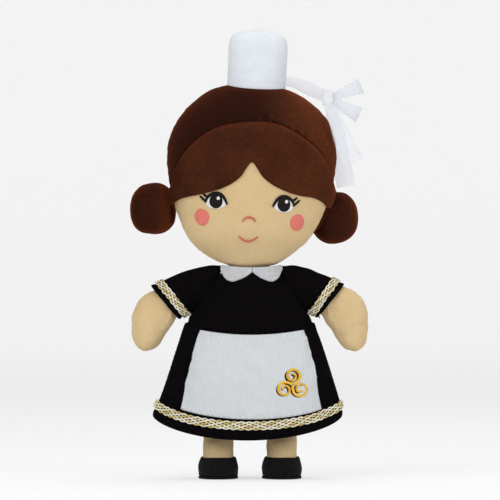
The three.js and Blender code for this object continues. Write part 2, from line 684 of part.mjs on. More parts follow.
const handForm = (side, grow, detail = {}) => {
  const at = (top, bottom, depth) => section(outline(side, top), outline(side, bottom), depth);
  return stuffed([
    at([31, 119], [36.8, 101.5], 3.4),
    at([44, 116], [39.8, 99.2], 6.6),
    at([57, 112.6], [43.6, 97.2], HAND_HALF_DEPTH - 0.5),
    at([65.6, 107.4], [47.6, 91.6], HAND_HALF_DEPTH),
    at([70, 99.6], [51, 87.6], HAND_HALF_DEPTH),
    at([71.2, 91.2], [53.4, 84], HAND_HALF_DEPTH - 0.5),
    at([70.2, 83.4], [55.4, 80], HAND_HALF_DEPTH - 2),
    at([67.2, 78], [58, 76.6], 3.5),
  ], grow, { rings: 10, sides: 16, edge: 1.1, ...detail });
};

// The braid lies round the sleeve just inside its plain dark cuff edge.
function cuffBand(side) {
  const [tx, tz] = CUFF_TOP;
  const [bx, bz] = CUFF_BOTTOM;
  const across = new THREE.Vector2(tz - bz, bx - tx).normalize();
  const corner = (x, z, inwards, past) => {
    const along = new THREE.Vector2(tx - bx, tz - bz).normalize().multiplyScalar(past);
    return [side * (x - across.x * inwards + along.x), z - across.y * inwards + along.y];
  };
  const edge = 1.8;
  return vectors([
    corner(tx, tz, edge, 6),
    corner(bx, bz, edge, -6),
    corner(bx, bz, edge + CUFF_BRAID_WIDTH, -6),
    corner(tx, tz, edge + CUFF_BRAID_WIDTH, 6),
  ]);
}

function armPieces(name, side) {
  const hollow = sleeveForm(side, -CLOTH, { start: SEAM_ROLL, beyond: 3, sides: HIDDEN.sides });
  const sleeve = sleeveForm(side, 0).add(roll(...shoulderLine(side, -1.5), SEAM_ROLL)).subtract(hollow);
  const skin = handForm(side, 0).subtract(handForm(side, -CLOTH, { before: 3, ...HIDDEN }));
  const trim = sleeveForm(side, GAP + BRAID).subtract(sleeveForm(side, GAP))
    .intersect(prism(cuffBand(side), -FAR, FAR))
    .subtract(roll(...shoulderLine(side, 4), SEAM_ROLL + 2 * GAP))
    .subtract(plainBody(4 * GAP));
  return [
    node(`sleeve_${name}`, sleeve, 'black'),
    node(`sleeve_braid_${name}`, trim, 'gold'),
    node(`arm_${name}`, skin, 'skin'),
    node(`arm_stuffing_${name}`, handForm(side, -CLOTH - GAP, HIDDEN), 'stuffing'),
  ];
}

// Legs

const legForm = (side, grow, { top = HIP_Z, ...detail } = {}) => {
  const at = (z, half, depth, forward = 0) => even(z, half, depth, 0, -forward, side * HIP_X);
  return stuffed([
    at(SOLE + GAP, LEG_HALF_WIDTH, LEG_HALF_DEPTH + 5, TOE_FORWARD - 0.6),
    at(5.5, LEG_HALF_WIDTH + 0.4, LEG_HALF_DEPTH + 5.4, TOE_FORWARD - 0.8),
    at(9, LEG_HALF_WIDTH + 0.2, LEG_HALF_DEPTH + 1.6, 1.8),
    at(top - 9, LEG_HALF_WIDTH, LEG_HALF_DEPTH),
    at(top - 4.5, LEG_HALF_WIDTH, LEG_HALF_DEPTH - 2.8),
    at(top, LEG_HALF_WIDTH, SEAM_ROLL),
  ], grow, { rings: 7, sides: 14, edge: 1, ...detail });
};

const slipperForm = (side, grow, detail = {}) => {
  const at = (z, half, depth, forward) => even(z, half, depth, 0, -forward, side * HIP_X);
  return stuffed([
    at(SOLE + GAP, SLIPPER_HALF_WIDTH - 0.4, SLIPPER_HALF_LENGTH - 0.4, TOE_FORWARD),
    at(6.5, SLIPPER_HALF_WIDTH, SLIPPER_HALF_LENGTH, TOE_FORWARD),
    at(SLIPPER_HEIGHT - 1.5, SLIPPER_HALF_WIDTH - 0.6, SLIPPER_HALF_LENGTH - 4, 2.2),
    at(SLIPPER_HEIGHT, SLIPPER_HALF_WIDTH - 0.9, LEG_HALF_DEPTH + SLIPPER_WALL + 1.2, 0.6),
  ], grow, { rings: 4, sides: 16, edge: 1, ...detail });
};

function legPieces(name, side) {
  const hollow = legForm(side, -CLOTH, { before: 3, top: HIP_Z - SEAM_ROLL, ...HIDDEN });
  const skin = legForm(side, 0).add(roll(...hipLine(side), SEAM_ROLL)).subtract(hollow);
  const stuffing = legForm(side, -CLOTH - GAP, { top: HIP_Z - SEAM_ROLL, ...HIDDEN });
  const slipper = slipperForm(side, 0)
    .subtract(slipperForm(side, -SLIPPER_WALL, { before: 3, beyond: 3 }))
    .subtract(legForm(side, GAP, { before: 2 }));
  const rim = arc(side * HIP_X, TOE_FORWARD, SLIPPER_HALF_WIDTH, SLIPPER_HALF_LENGTH, 0, 360, 24);
  const sole = prism(rim, 0, SOLE).rotate([90, 0, 0]);
  return [
    node(`leg_${name}`, skin, 'skin'),
    node(`leg_stuffing_${name}`, stuffing, 'stuffing'),
    node(`slipper_${name}`, slipper, 'black'),
    node(`sole_${name}`, sole, 'black'),
  ];
}

const doll = new THREE.Group();
const head = new THREE.Group();
head.position.set(NECK_X, 0, NECK_Z);
head.rotation.y = radians(HEAD_LEAN);
head.add(node('neck', ball(NECK_RADIUS), 'skin'));
head.add(...headPieces(), ...facePieces(), ...capPieces(), ...ribbonPieces(), ...ribbonTails());
head.add(...bunPieces('left'), ...bunPieces('right'));
doll.add(head);
doll.add(...dressPieces(), collarPiece('left', -1), collarPiece('right', 1));
doll.add(hemBraid(), apronPiece(), tripleSpiral());
doll.add(...armPieces('left', -1), ...armPieces('right', 1));
doll.add(...legPieces('left', -1), ...legPieces('right', 1));

export default doll;
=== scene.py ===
"""A sewn rag doll in a dress, a tall cap and an apron: its cloth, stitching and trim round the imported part.

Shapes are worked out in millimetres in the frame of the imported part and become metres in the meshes.
"""

import logging
import math
from collections.abc import Callable, Sequence
from dataclasses import dataclass, field, replace
from enum import Enum

import bpy
import numpy as np
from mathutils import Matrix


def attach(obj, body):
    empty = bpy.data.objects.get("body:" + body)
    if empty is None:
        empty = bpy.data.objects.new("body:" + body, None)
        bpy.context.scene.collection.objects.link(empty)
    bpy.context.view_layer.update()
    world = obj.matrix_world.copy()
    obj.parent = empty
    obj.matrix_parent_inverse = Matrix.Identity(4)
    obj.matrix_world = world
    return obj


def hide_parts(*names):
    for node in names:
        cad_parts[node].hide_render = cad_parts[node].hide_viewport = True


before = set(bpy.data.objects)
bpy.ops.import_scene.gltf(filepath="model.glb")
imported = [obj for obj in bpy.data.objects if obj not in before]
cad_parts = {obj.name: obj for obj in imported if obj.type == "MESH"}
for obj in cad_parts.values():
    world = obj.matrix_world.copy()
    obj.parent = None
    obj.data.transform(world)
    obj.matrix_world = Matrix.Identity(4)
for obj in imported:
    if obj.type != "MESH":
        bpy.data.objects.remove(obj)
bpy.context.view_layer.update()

Object, Socket = bpy.types.Object, bpy.types.NodeSocket
Array = np.ndarray
Surface = Callable[[Array, Array], Array]
Amount = Array | float
Pair = tuple[float, float]
Triple = tuple[float, float, float]
Color = tuple[int, int, int]

LOG = logging.getLogger("rag doll")
MM = 0.001
CHART = "cloth_mm"  # name of every piece's map, which is in millimetres

NECK = np.array([-2.0, 0.0, 126.0])  # the neck pivot
HEAD_LEAN = 3.0  # sideways lean of the head at rest, degrees
CLEAR = 0.12  # what is sewn on lies this far over its cloth
FAR = 99.0  # a distance at which no seam pulls any more


class Side(Enum):
    """A side of the doll as seen from the front."""

    LEFT = -1
    RIGHT = 1

    @property
    def label(self) -> str:
        """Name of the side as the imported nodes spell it."""
        return self.name.lower()


class Held(Enum):
    """How a sheet of cloth is held."""

    SEWN_ROUND = "stretched"
    FOLDED = "folded"
    HANGING = "hung"


# Shapes


def catmull(knots: Array, t: Array) -> Array:
    """Finds places on the uniform Catmull-Rom curve through some knots, the curve that the solids follow too.

    Args:
        knots: One row for each knot.
        t: Where on the curve, from 0 at the first knot to 1 at the last.

    Returns:
        One row for each value of t.
    """
    knots = np.asarray(knots, float)
    spans = len(knots) - 1
    held = np.vstack([2 * knots[0] - knots[1], knots, 2 * knots[-1] - knots[-2]])
    place = np.clip(t, 0, 1) * spans
    first = np.minimum(place.astype(int), spans - 1)
    w = (place - first)[..., None]
    a, b, c, d = (held[first + k] for k in range(4))
    return 0.5 * (2 * b + (c - a) * w + (2 * a - 5 * b + 4 * c - d) * w**2 + (3 * b - a - 3 * c + d) * w**3)


def unit(vectors: Array) -> Array:
    """Scales vectors to length one, and leaves those of no length alone."""
    return vectors / np.maximum(np.linalg.norm(vectors, axis=-1, keepdims=True), 1e-9)


def normals(points: Array, closed: bool = False) -> Array:
    """Normals of a grid: the cross product of its two directions, where closed says that columns go round.

    Args:
        points: Rows by columns by three.
        closed: The last column repeats the first.

    Returns:
        Unit normals in the same layout.
    """
    down = np.gradient(points, axis=0)
    if closed:
        ring = points[:, :-1]
        along = (np.roll(ring, -1, axis=1) - np.roll(ring, 1, axis=1)) / 2
        along = np.concatenate([along, along[:, :1]], axis=1)
    else:
        along = np.gradient(points, axis=1)
    made = np.cross(along, down)
    size = np.linalg.norm(made, axis=-1)
    for row, inner in ((0, 1), (-1, -2)):
        if size[row].max() < 1e-7:
            made[row] = unit(made[inner]).mean(axis=0)
    return unit(made)


def outward(points: Array, closed: bool = False, facing: Triple | None = None) -> Array:
    """Normals that look out of a form, or towards a side.

    Args:
        points: Rows by columns by three.
        closed: The columns go round.
        facing: Where they look on the whole. Without it, away from the middle of the points.

    Returns:
        Unit normals in the same layout.
    """
    made = normals(points, closed)
    away = points - points.reshape(-1, 3).mean(0) if facing is None else np.array(facing)
    return made if (made * away).sum() > 0 else -made


def eased(count: int) -> Array:
    """Numbers from 0 to 1 that crowd at both ends, for rounded edges: half of one minus a cosine."""
    return 0.5 - 0.5 * np.cos(np.linspace(0, np.pi, count))


def wander(points: Array, wavelength: float, seed: int) -> Array:
    """A smooth random value at each point: a sum of nine sines in fixed random directions.

    Args:
        points: Places in millimetres.
        wavelength: Typical distance between two swells.
        seed: Chooses the directions.

    Returns:
        Values of about -1.5 to 1.5.
    """
    dice, waves = np.random.default_rng(seed), 9
    directions = unit(dice.normal(size=(waves, 3)))
    lengths = wavelength * dice.uniform(0.7, 1.4, waves)
    phases = dice.uniform(0, 2 * np.pi, waves)
    return np.sin(points @ directions.T * 2 * np.pi / lengths + phases).sum(-1) / math.sqrt(waves)


def near(distance: Array, width: float) -> Array:
    """One on a seam that fades away from it: a bell curve of the distance."""
    return np.exp(-((distance / width) ** 2))


def halved(before: Callable[[Array], Array], shape: tuple[int, ...]) -> Array:
    """Finds where a condition stops to hold, by halving the interval from 0 to 1.

    Args:
        before: Says for each t whether it still holds.
        shape: Shape of the array of t.

    Returns:
        The t of each place.
    """
    low, high = np.zeros(shape), np.ones(shape)
    for _ in range(28):
        t = (low + high) / 2
        holds = before(t)
        low, high = np.where(holds, t, low), np.where(holds, high, t)
    return t


def run(points: Array, axis: int) -> Array:
    """Length along a grid from its start, in one of its directions."""
    steps = np.linalg.norm(np.diff(points, axis=axis), axis=-1)
    return np.concatenate([np.zeros_like(np.take(steps, [0], axis)), np.cumsum(steps, axis)], axis)


def between(at: Array, places: Array, rows: Array) -> Array:
    """Rows worked out between those that are given at some places along a line."""
    return np.stack([np.interp(at, places, rows[:, k]) for k in range(rows.shape[1])], -1)


def to_edge(points: Array, sides: str = "lrtb") -> Array:
    """Distance to the nearest border of a grid.

    Args:
        points: Rows by columns by three.
        sides: Which borders count: l and r for the first and last column, t and b for the first and last row.

    Returns:
        Rows by columns.
    """
    across, down = run(points, 1), run(points, 0)
    found = {"l": across, "r": across[:, -1:] - across, "t": down, "b": down[-1:] - down}
    return np.min([found[s] for s in sides], axis=0)


@dataclass
class Section:
    """One cross section of a stuffed form.

    Attributes:
        left: Outline point on one side, x and z.
        right: Outline point on the other side.
        depth: Half the thickness front to back.
        droop: How far the middle hangs below the edges.
        y: Where its middle lies front to back.
    """

    left: Pair
    right: Pair
    depth: float
    droop: float = 0.0
    y: float = 0.0


def even(z: float, half: float, depth: float, droop: float = 0.0, y: float = 0.0, x: float = 0.0) -> Section:
    """A section that is the same on both sides of x."""
    return Section((x - half, z), (x + half, z), depth, droop, y)


@dataclass
class StuffedForm:
    """A stuffed cloth form: rings through cross sections, where a ring is an ellipse drawn in at its seams.

    A ring's point is the middle plus half the width times cos(turn), and y plus the depth times
    sin(turn) to the power edge. The middle hangs by droop times sin(turn) to the power bend.
    """

    sections: list[Section]
    edge: float = 1.15
    bend: float = 2.0

    def rows_at(self, t: Array) -> Array:
        """Left x, left z, right x, right z, depth, droop and y of the ring at t."""
        table = [[*s.left, *s.right, s.depth, s.droop, s.y] for s in self.sections]
        return catmull(np.array(table), np.asarray(t, float))

    def point(self, t: Array, turn: Array, shrink: Amount = 1.0, lift: Amount = 0.0) -> Array:
        """Places on the form.

        Args:
            t: Which ring, from 0 to 1.
            turn: Where on the ring, in radians: 0 at the right edge, negative in front.
            shrink: Scale of the ring about its middle, for a rounded end.
            lift: How far the ring moves on past its place, for a rounded end.

        Returns:
            Places in millimetres.
        """
        t, turn, shrink, lift = np.broadcast_arrays(t, turn, shrink, lift)
        lx, lz, rx, rz, depth, droop, y = np.moveaxis(self.rows_at(t), -1, 0)
        half_x, half_z = (rx - lx) / 2, (rz - lz) / 2
        ahead = np.stack([-half_z, half_x]) / np.hypot(half_x, half_z) * self.heading
        sine = np.sin(turn)
        swell = np.sign(sine) * np.abs(sine) ** self.edge
        x = (lx + rx) / 2 + shrink * half_x * np.cos(turn) + lift * ahead[0]
        hang = droop * (0.5 + shrink * (np.abs(sine) ** self.bend - 0.5))
        z = (lz + rz) / 2 + shrink * half_z * np.cos(turn) - hang + lift * ahead[1]
        return np.stack([x, y + shrink * depth * swell, z], -1)

    @property
    def heading(self) -> float:
        """Which way along the form is onwards.

        Returns:
            Plus or minus one.
        """
        first, last = self.sections[0], self.sections[-1]
        go = np.add(last.left, last.right) - np.add(first.left, first.right)
        wide = np.subtract(first.right, first.left)
        return 1.0 if go[1] * wide[0] - go[0] * wide[1] > 0 else -1.0

    def height_to_t(self, z: Array) -> Array:
        """The t at which the edge of the form is at a height."""
        t = np.linspace(0, 1, 2001)
        return np.interp(z, self.rows_at(t)[:, 1], t)

    def facing(self, x: Array, z: Array) -> tuple[Array, Array]:
        """The t and turn of the point of the front that shows at x and z.

        Args:
            x: Across the doll.
            z: Up the doll.

        Returns:
            The t and the turn.
        """
        x, z = np.broadcast_arrays(np.asarray(x, float), np.asarray(z, float))

        def across(t: Array) -> tuple[Array, Array]:
            """Where x lies across the ring at t, from -1 to 1, and how high the ring is there."""
            lx, lz, rx, _, _, droop, _ = np.moveaxis(self.rows_at(t), -1, 0)
            share = np.clip((x - (lx + rx) / 2) / ((rx - lx) / 2), -1, 1)
            return share, lz - droop * (1 - share**2) ** (self.bend / 2)

        t = halved(lambda t: across(t)[1] < z, x.shape)
        return t, -np.arccos(across(t)[0])

    def front(self, x: Array, z: Array) -> Array:
        """The points of the front that show at x and z."""
        return self.point(*self.facing(x, z))


def rounded_rows(t: Array, start: float = 0.0, end: float = 0.0, steps: int = 7) -> Array:
    """Rows for a form with rounded ends: quarter circles that grow from a pole.

    Args:
        t: The rings between the ends.
        start: How far the first end bulges, or 0 for none.
        end: How far the last end bulges, or 0 for none.
        steps: Rows in each rounded end.

    Returns:
        Three columns: t, shrink and lift.
    """
    angle = np.linspace(0, np.pi / 2, steps, endpoint=False)
    parts = [np.array([t, np.ones_like(t), np.zeros_like(t)])]
    if start:
        parts.insert(0, np.array([np.full(steps, t[0]), np.sin(angle), -start * np.cos(angle)]))
    if end:
        parts.append(np.array([np.full(steps, t[-1]), np.sin(angle), end * np.cos(angle)])[:, ::-1])
    return np.concatenate(parts, axis=1)[..., None]


def lean(points: Array) -> Array:
    """Takes places measured from the neck pivot, with the head upright, to where the leaning head has them.

    Args:
        points: Places before the lean.

    Returns:
        Places in the doll's frame.
    """
    angle = math.radians(HEAD_LEAN)
    c, s = math.cos(angle), math.sin(angle)
    x, y, z = np.moveaxis(points, -1, 0)
    return np.stack([x * c + z * s, y, z * c - x * s], -1) + NECK


# Meshes


@dataclass
class Patch:
    """A grid of points with the distances along it, in millimetres, as its map."""

    points: Array
    chart: Array

    @classmethod
    def of(cls, points: Array) -> "Patch":
        """A patch whose map is the length along its rows and its columns."""
        return cls(points, np.stack([run(points, 1), run(points, 0)], -1))


def layer(outer: Array, inner: Array) -> list[Patch]:
    """The two faces of a layer of cloth or thread."""
    return [Patch.of(outer), Patch.of(inner[:, ::-1])]


def swelled(points: Array, amount: Array) -> Array:
    """Moves a grid whose columns go round outwards by an amount at each place, and closes it again.

    Args:
        points: Rows by columns by three.
        amount: How far each goes.

    Returns:
        The closed grid.
    """
    moved = points + outward(points, True) * amount[..., None]
    moved[:, -1] = moved[:, 0]
    return moved


def blunt(u: Array, power: int) -> Array:
    """One along a line from 0 to 1 and rounded off at both ends: the root of one less a high even power."""
    return np.sqrt(np.clip(1 - (2 * u - 1) ** power, 0, 1))


def satin(front: Surface, line: Array, wide: Array, height: Array, low: float, facets: int) -> tuple[Array, Array]:
    """A satin-stitched band along a line on a surface: half an ellipse across.

    Args:
        front: The surface that shows at x and z.
        line: Places x and z that it follows.
        wide: Half its width along the line, as a column.
        height: Its height in the middle along the line, as a column.
        low: Height of its underside over the surface.
        facets: Points across it.

    Returns:
        Its outer and its inner face.
    """
    along = unit(np.gradient(line, axis=0))
    across = np.stack([-along[:, 1], along[:, 0]], -1)
    share = np.sin(np.linspace(-np.pi / 2, np.pi / 2, facets))[:, None, None]
    spread = line + across * wide * share
    points = front(spread[..., 0], spread[..., 1])
    out = outward(points, facing=(0, -1, 0))
    inner = points + out * low
    return inner + out * height * np.sqrt(np.clip(1 - share**2, 0, 1)), inner


def edge_round(distance: Array, thickness: float, radius: float) -> Array:
    """Thickness of a layer with rounded borders: a quarter circle over the radius next to the border."""
    return thickness * np.sqrt(1 - np.clip(1 - distance / radius, 0, 1) ** 2)


def mesh_object(name: str, patches: list[Patch], inside: Array | None = None) -> Object:
    """Joins patches into one mesh, welds the points that coincide and turns the faces outwards.

    A quad that loses a corner in the weld becomes a triangle, and one that loses two goes.

    Args:
        name: Name of the piece.
        patches: Grids of points in millimetres.
        inside: A point that the faces look away from, for a surface that isn't closed.

    Returns:
        The new object, at the origin.
    """
    corners, charts, quads, offset = [], [], [], 0
    for patch in patches:
        rows, columns = patch.points.shape[:2]
        i = np.arange(rows - 1)[:, None] * columns
        a = i + np.arange(columns - 1)[None]
        quads.append(np.stack([a, a + 1, a + 1 + columns, a + columns], -1).reshape(-1, 4) + offset)
        corners.append(patch.points.reshape(-1, 3))
        charts.append(patch.chart.reshape(-1, 2))
        offset += rows * columns
    places, chart, quads = np.concatenate(corners), np.concatenate(charts), np.concatenate(quads)
    _, keep, weld = np.unique(np.round(places, 3), axis=0, return_index=True, return_inverse=True)
    places, weld = places[keep], weld.reshape(-1)
    joined = weld[quads]
    same = joined == np.roll(joined, -1, axis=1)
    lost = same.sum(1) + 2 * ((joined[:, 0] == joined[:, 2]) | (joined[:, 1] == joined[:, 3]))
    faces = [quads[lost == 0], quads[lost == 1][~same[lost == 1]].reshape(-1, 3)]
    centre = places.mean(0) if inside is None else np.asarray(inside, float)
    turned = 0.0
    for part in faces:
        a, b, c = (places[weld[part[:, k]]] for k in (0, 1, part.shape[1] - 1))
        turned += (np.cross(b - a, c - a) * (a - centre)).sum()
    faces = [part if turned > 0 else part[:, ::-1] for part in faces]
    mesh = bpy.data.meshes.new(name)
    mesh.from_pydata((places * MM).tolist(), [], [f for part in faces for f in weld[part].tolist()])
    chart_layer = mesh.uv_layers.new(name=CHART)
    order = np.concatenate([part.reshape(-1) for part in faces])
    chart_layer.data.foreach_set("uv", chart[order].astype(np.float32).reshape(-1))
    mesh.shade_smooth()
    mesh.validate()
    made = bpy.data.objects.new(name, mesh)
    bpy.context.scene.collection.objects.link(made)
    return made


def thicken(piece: Object, thickness: float) -> None:
    """Gives an open panel its cloth, inwards from its face."""
    wall = piece.modifiers.new("cloth", "SOLIDIFY")
    wall.thickness = thickness * MM
    wall.offset = -1


def puff(points: Array, pinned: Array, pressure: float, most: float) -> Array:
    """Blows a closed cloth form up from inside with a cloth simulation, so that it strains at its seams.

    Args:
        points: Rows by columns, where the last column repeats the first and each end row is one point.
        pinned: From 0, free, to 1, held, at each point.
        pressure: Air pressure of the stuffing.
        most: The furthest that a point may move, in millimetres.

    Returns:
        The moved points.
    """
    flat = points.reshape(-1, 3)
    piece = mesh_object("puffing", [Patch.of(points)])
    start = np.empty(len(piece.data.vertices) * 3, np.float32)
    piece.data.vertices.foreach_get("co", start)
    start = start.reshape(-1, 3).astype(float) / MM
    _, keep, weld = np.unique(np.round(flat, 3), axis=0, return_index=True, return_inverse=True)
    held = piece.vertex_groups.new(name="held")
    amounts = np.round(pinned.reshape(-1)[keep], 1)
    for amount in np.unique(amounts[amounts > 0]):
        held.add(np.flatnonzero(amounts == amount).tolist(), float(amount), "REPLACE")
    cloth = piece.modifiers.new("cloth", "CLOTH")
    settings = cloth.settings
    settings.vertex_group_mass = "held"
    settings.use_pressure = True
    settings.uniform_pressure_force = pressure
    settings.shrink_min = settings.shrink_max = -0.02  # the cloth is cut a little larger than the form
    settings.quality = 4
    settings.effector_weights.gravity = 0
    cloth.collision_settings.use_collision = False
    scene = bpy.context.scene
    for number in range(1, 15):
        scene.frame_set(number)
    shaped = piece.evaluated_get(bpy.context.evaluated_depsgraph_get())
    end = np.empty(len(start) * 3, np.float32)
    shaped.data.vertices.foreach_get("co", end)
    moved = end.reshape(-1, 3) / MM - start
    scene.frame_set(1)
    mesh = piece.data
    bpy.data.objects.remove(piece)
    bpy.data.meshes.remove(mesh)
    far = np.linalg.norm(moved, axis=1, keepdims=True)
    moved *= most * np.tanh(far / most) / np.maximum(far, 1e-6)
    return points + moved[weld.reshape(-1)].reshape(points.shape)


@dataclass
class Stuffing:
    """The cloth of a stuffed form: its rings, and how far a cloth simulation moved each place of them."""

    form: StuffedForm
    ends: Pair
    rows: int = 60
    columns: int = 97
    moved: Array = field(default_factory=lambda: np.zeros((2, 2, 3)))

    def fill(self, held: Surface, pressure: float, most: float) -> None:
        """Runs the simulation.

        Args:
            held: For a t and a turn, from 0, free, to 1, sewn.
            pressure: Air pressure of the stuffing.
            most: The furthest that a place may move, in millimetres.
        """
        steps = 5
        t, shrink, lift = rounded_rows(np.linspace(0, 1, self.rows), *self.ends, steps)
        turn = np.linspace(-np.pi, np.pi, self.columns)
        points = self.form.point(t, turn, shrink, lift)
        points[:, -1] = points[:, 0]
        pinned = np.maximum(held(t, turn), shrink < 1)
        self.moved = (puff(points, pinned, pressure, most) - points)[steps:-steps]

    def at(self, t: Array, turn: Array, shrink: Amount = 1.0, lift: Amount = 0.0) -> Array:
        """Places on the filled form: the form's own, moved as the places round them were.

        Args:
            t: Which ring, from 0 to 1.
            turn: Where on the ring, in radians.
            shrink: Scale of the ring.
            lift: How far the ring moves on.

        Returns:
            Places in millimetres.
        """
        height, width = self.moved.shape[:2]
        t, turn = np.broadcast_arrays(t, turn)
        row, column = t * (height - 1), (turn / (2 * np.pi) + 0.5) * (width - 1)
        r, c = np.clip(row.astype(int), 0, height - 2), np.clip(column.astype(int), 0, width - 2)
        v, u = (row - r)[..., None], (column - c)[..., None]
        upper = self.moved[r, c] * (1 - u) + self.moved[r, c + 1] * u
        lower = self.moved[r + 1, c] * (1 - u) + self.moved[r + 1, c + 1] * u
        moved = upper * (1 - v) + lower * v
        return self.form.point(t, turn, shrink, lift) + moved * np.broadcast_to(shrink, t.shape)[..., None]


# Finishes


def linear(color: Color) -> tuple[float, float, float, float]:
    """A colour of 0 to 255 as the shaders take it."""
    share = np.array(color) / 255
    low = share <= 0.04045
    return (*np.where(low, share / 12.92, ((share + 0.055) / 1.055) ** 2.4), 1.0)


@dataclass
class Wiring:
    """A node tree that is being wired."""

    tree: bpy.types.NodeTree

    def add(self, kind: str, inputs: dict[int | str, object] | None = None, **settings: object) -> bpy.types.Node:
        """Adds a node.

        Args:
            kind: Type of the node.
            inputs: For each socket, a value or a socket to link to it.
            settings: Attributes of the node.

        Returns:
            The node.
        """
        made = self.tree.nodes.new(kind)
        for name, value in settings.items():
            setattr(made, name, value)
        self.feed(made.inputs, inputs or {})
        return made

    def feed(self, sockets: object, values: dict[int | str, object]) -> None:
        """Sets each socket to its value, or links it to the value's socket.

        Args:
            sockets: The inputs of a node.
            values: For each socket, a value or a socket.
        """
        for name, value in values.items():
            if isinstance(value, Socket):
                self.tree.links.new(value, sockets[name])
            else:
                sockets[name].default_value = value

    def math(self, operation: str, *values: object) -> Socket:
        """The result of a Math node on values or sockets."""
        return self.add("ShaderNodeMath", dict(enumerate(values)), operation=operation).outputs[0]

    def mix(self, factor: object, first: object, second: object, blend: str = "MIX") -> Socket:
        """The colour between two others."""
        inputs = {0: factor, 6: first, 7: second}
        return self.add("ShaderNodeMix", inputs, data_type="RGBA", blend_type=blend).outputs[2]

    def bump(self, height: Socket, depth: object, strength: float) -> Socket:
        """The normal of a surface with a height map, whose depth is in millimetres."""
        distance = self.math("MULTIPLY", depth, MM)
        return self.add("ShaderNodeBump", {"Height": height, "Distance": distance, "Strength": strength}).outputs[0]


def new_group(name: str, inputs: dict[str, object]) -> tuple[Wiring, object, object]:
    """Starts a node group with named inputs, which puts out a colour and a normal.

    Args:
        name: Name of the group.
        inputs: For each input, its value at rest: a number or a colour.

    Returns:
        Its wiring, and the sockets of its inputs and outputs.
    """
    tree = bpy.data.node_groups.new(name, "ShaderNodeTree")
    colors = {"Color": (0.5, 0.5, 0.5, 1.0), "Shade": (0.3, 0.3, 0.3, 1.0)}
    for label, value in {**colors, **inputs}.items():
        kind = "NodeSocketColor" if label in colors else "NodeSocketFloat"
        tree.interface.new_socket(label, in_out="INPUT", socket_type=kind).default_value = value
    for label, kind in (("Color", "NodeSocketColor"), ("Normal", "NodeSocketVector")):
        tree.interface.new_socket(label, in_out="OUTPUT", socket_type=kind)
    wiring = Wiring(tree)
    return wiring, wiring.add("NodeGroupInput").outputs, wiring.add("NodeGroupOutput").inputs


def pile_group() -> bpy.types.NodeTree:
    """Brushed cloth: patches where the pile lies another way, fine mottling, knit rows and a fuzzy surface.

    It is also painted darker on surfaces that face left, a painted side shade that stands in for the light from the
    right: by its share of half less the normal's part along x.

    Returns:
        The group, with the colour and the normal.
    """
    name = "brushed cloth"
    if name in bpy.data.node_groups:
        return bpy.data.node_groups[name]
    wiring, given, taken = new_group(name, {
        "Patch Size": 12.0, "Patches": 0.5, "Mottling": 0.3, "Row Pitch": 0.9, "Rows": 0.3, "Fuzz Size": 0.5,
        "Fuzz": 0.5, "Depth": 0.2, "Lay": 0.0,
    })
    coordinates = wiring.add("ShaderNodeTexCoord").outputs
    place, per_metre = coordinates["Object"], 1 / MM

    def noise(size: object, detail: float) -> Socket:
        """Noise with features of a size in millimetres."""
        scale = wiring.math("DIVIDE", per_metre, size)
        return wiring.add("ShaderNodeTexNoise", {"Vector": place, "Scale": scale, "Detail": detail}).outputs[0]

    broad = noise(given["Patch Size"], 3.0)
    steep = wiring.add("ShaderNodeMapRange", {0: broad, 1: 0.35, 2: 0.65}).outputs[0]
    # Painted side shade: the normal's part along x turns the colour towards the shade's colour on surfaces that face
    # left.
    across = wiring.add("ShaderNodeSeparateXYZ", {0: coordinates["Normal"]}).outputs[0]
    painted_side_shade = wiring.math("MULTIPLY", wiring.math("SUBTRACT", 0.5, across), given["Lay"])
    patchy = {0: wiring.math("MULTIPLY", steep, given["Patches"]), 1: painted_side_shade}
    amount = wiring.add("ShaderNodeMath", patchy, operation="ADD", use_clamp=True).outputs[0]
    base = wiring.mix(amount, given["Color"], given["Shade"])
    fine = noise(given["Fuzz Size"], 4.0)
    speck = wiring.add("ShaderNodeMapRange", {0: fine, 1: 0.3, 2: 0.7, 3: 1.0, 4: 0.0}).outputs[0]
    dark = wiring.mix(1.0, base, (0.55, 0.52, 0.5, 1.0), "MULTIPLY")
    mottled = wiring.mix(wiring.math("MULTIPLY", speck, given["Mottling"]), base, dark)
    axes = wiring.add("ShaderNodeSeparateXYZ", {0: place}).outputs
    sway = wiring.math("MULTIPLY", noise(4.0, 2.0), 0.0012)
    turn = wiring.math("DIVIDE", wiring.math("ADD", axes[0], sway), wiring.math("MULTIPLY", given["Row Pitch"], MM))
    wave = wiring.math("SINE", wiring.math("MULTIPLY", turn, 2 * math.pi))
    rows = wiring.math("MULTIPLY", wave, given["Rows"])
    lined = wiring.mix(wiring.math("MULTIPLY", wiring.math("MAXIMUM", rows, 0.0), 0.35), mottled, dark)
    height = wiring.math("ADD", wiring.math("MULTIPLY", fine, given["Fuzz"]), wiring.math("MULTIPLY", rows, 0.5))
    wiring.feed(taken, {"Color": lined, "Normal": wiring.bump(height, given["Depth"], 1.0)})
    return wiring.tree


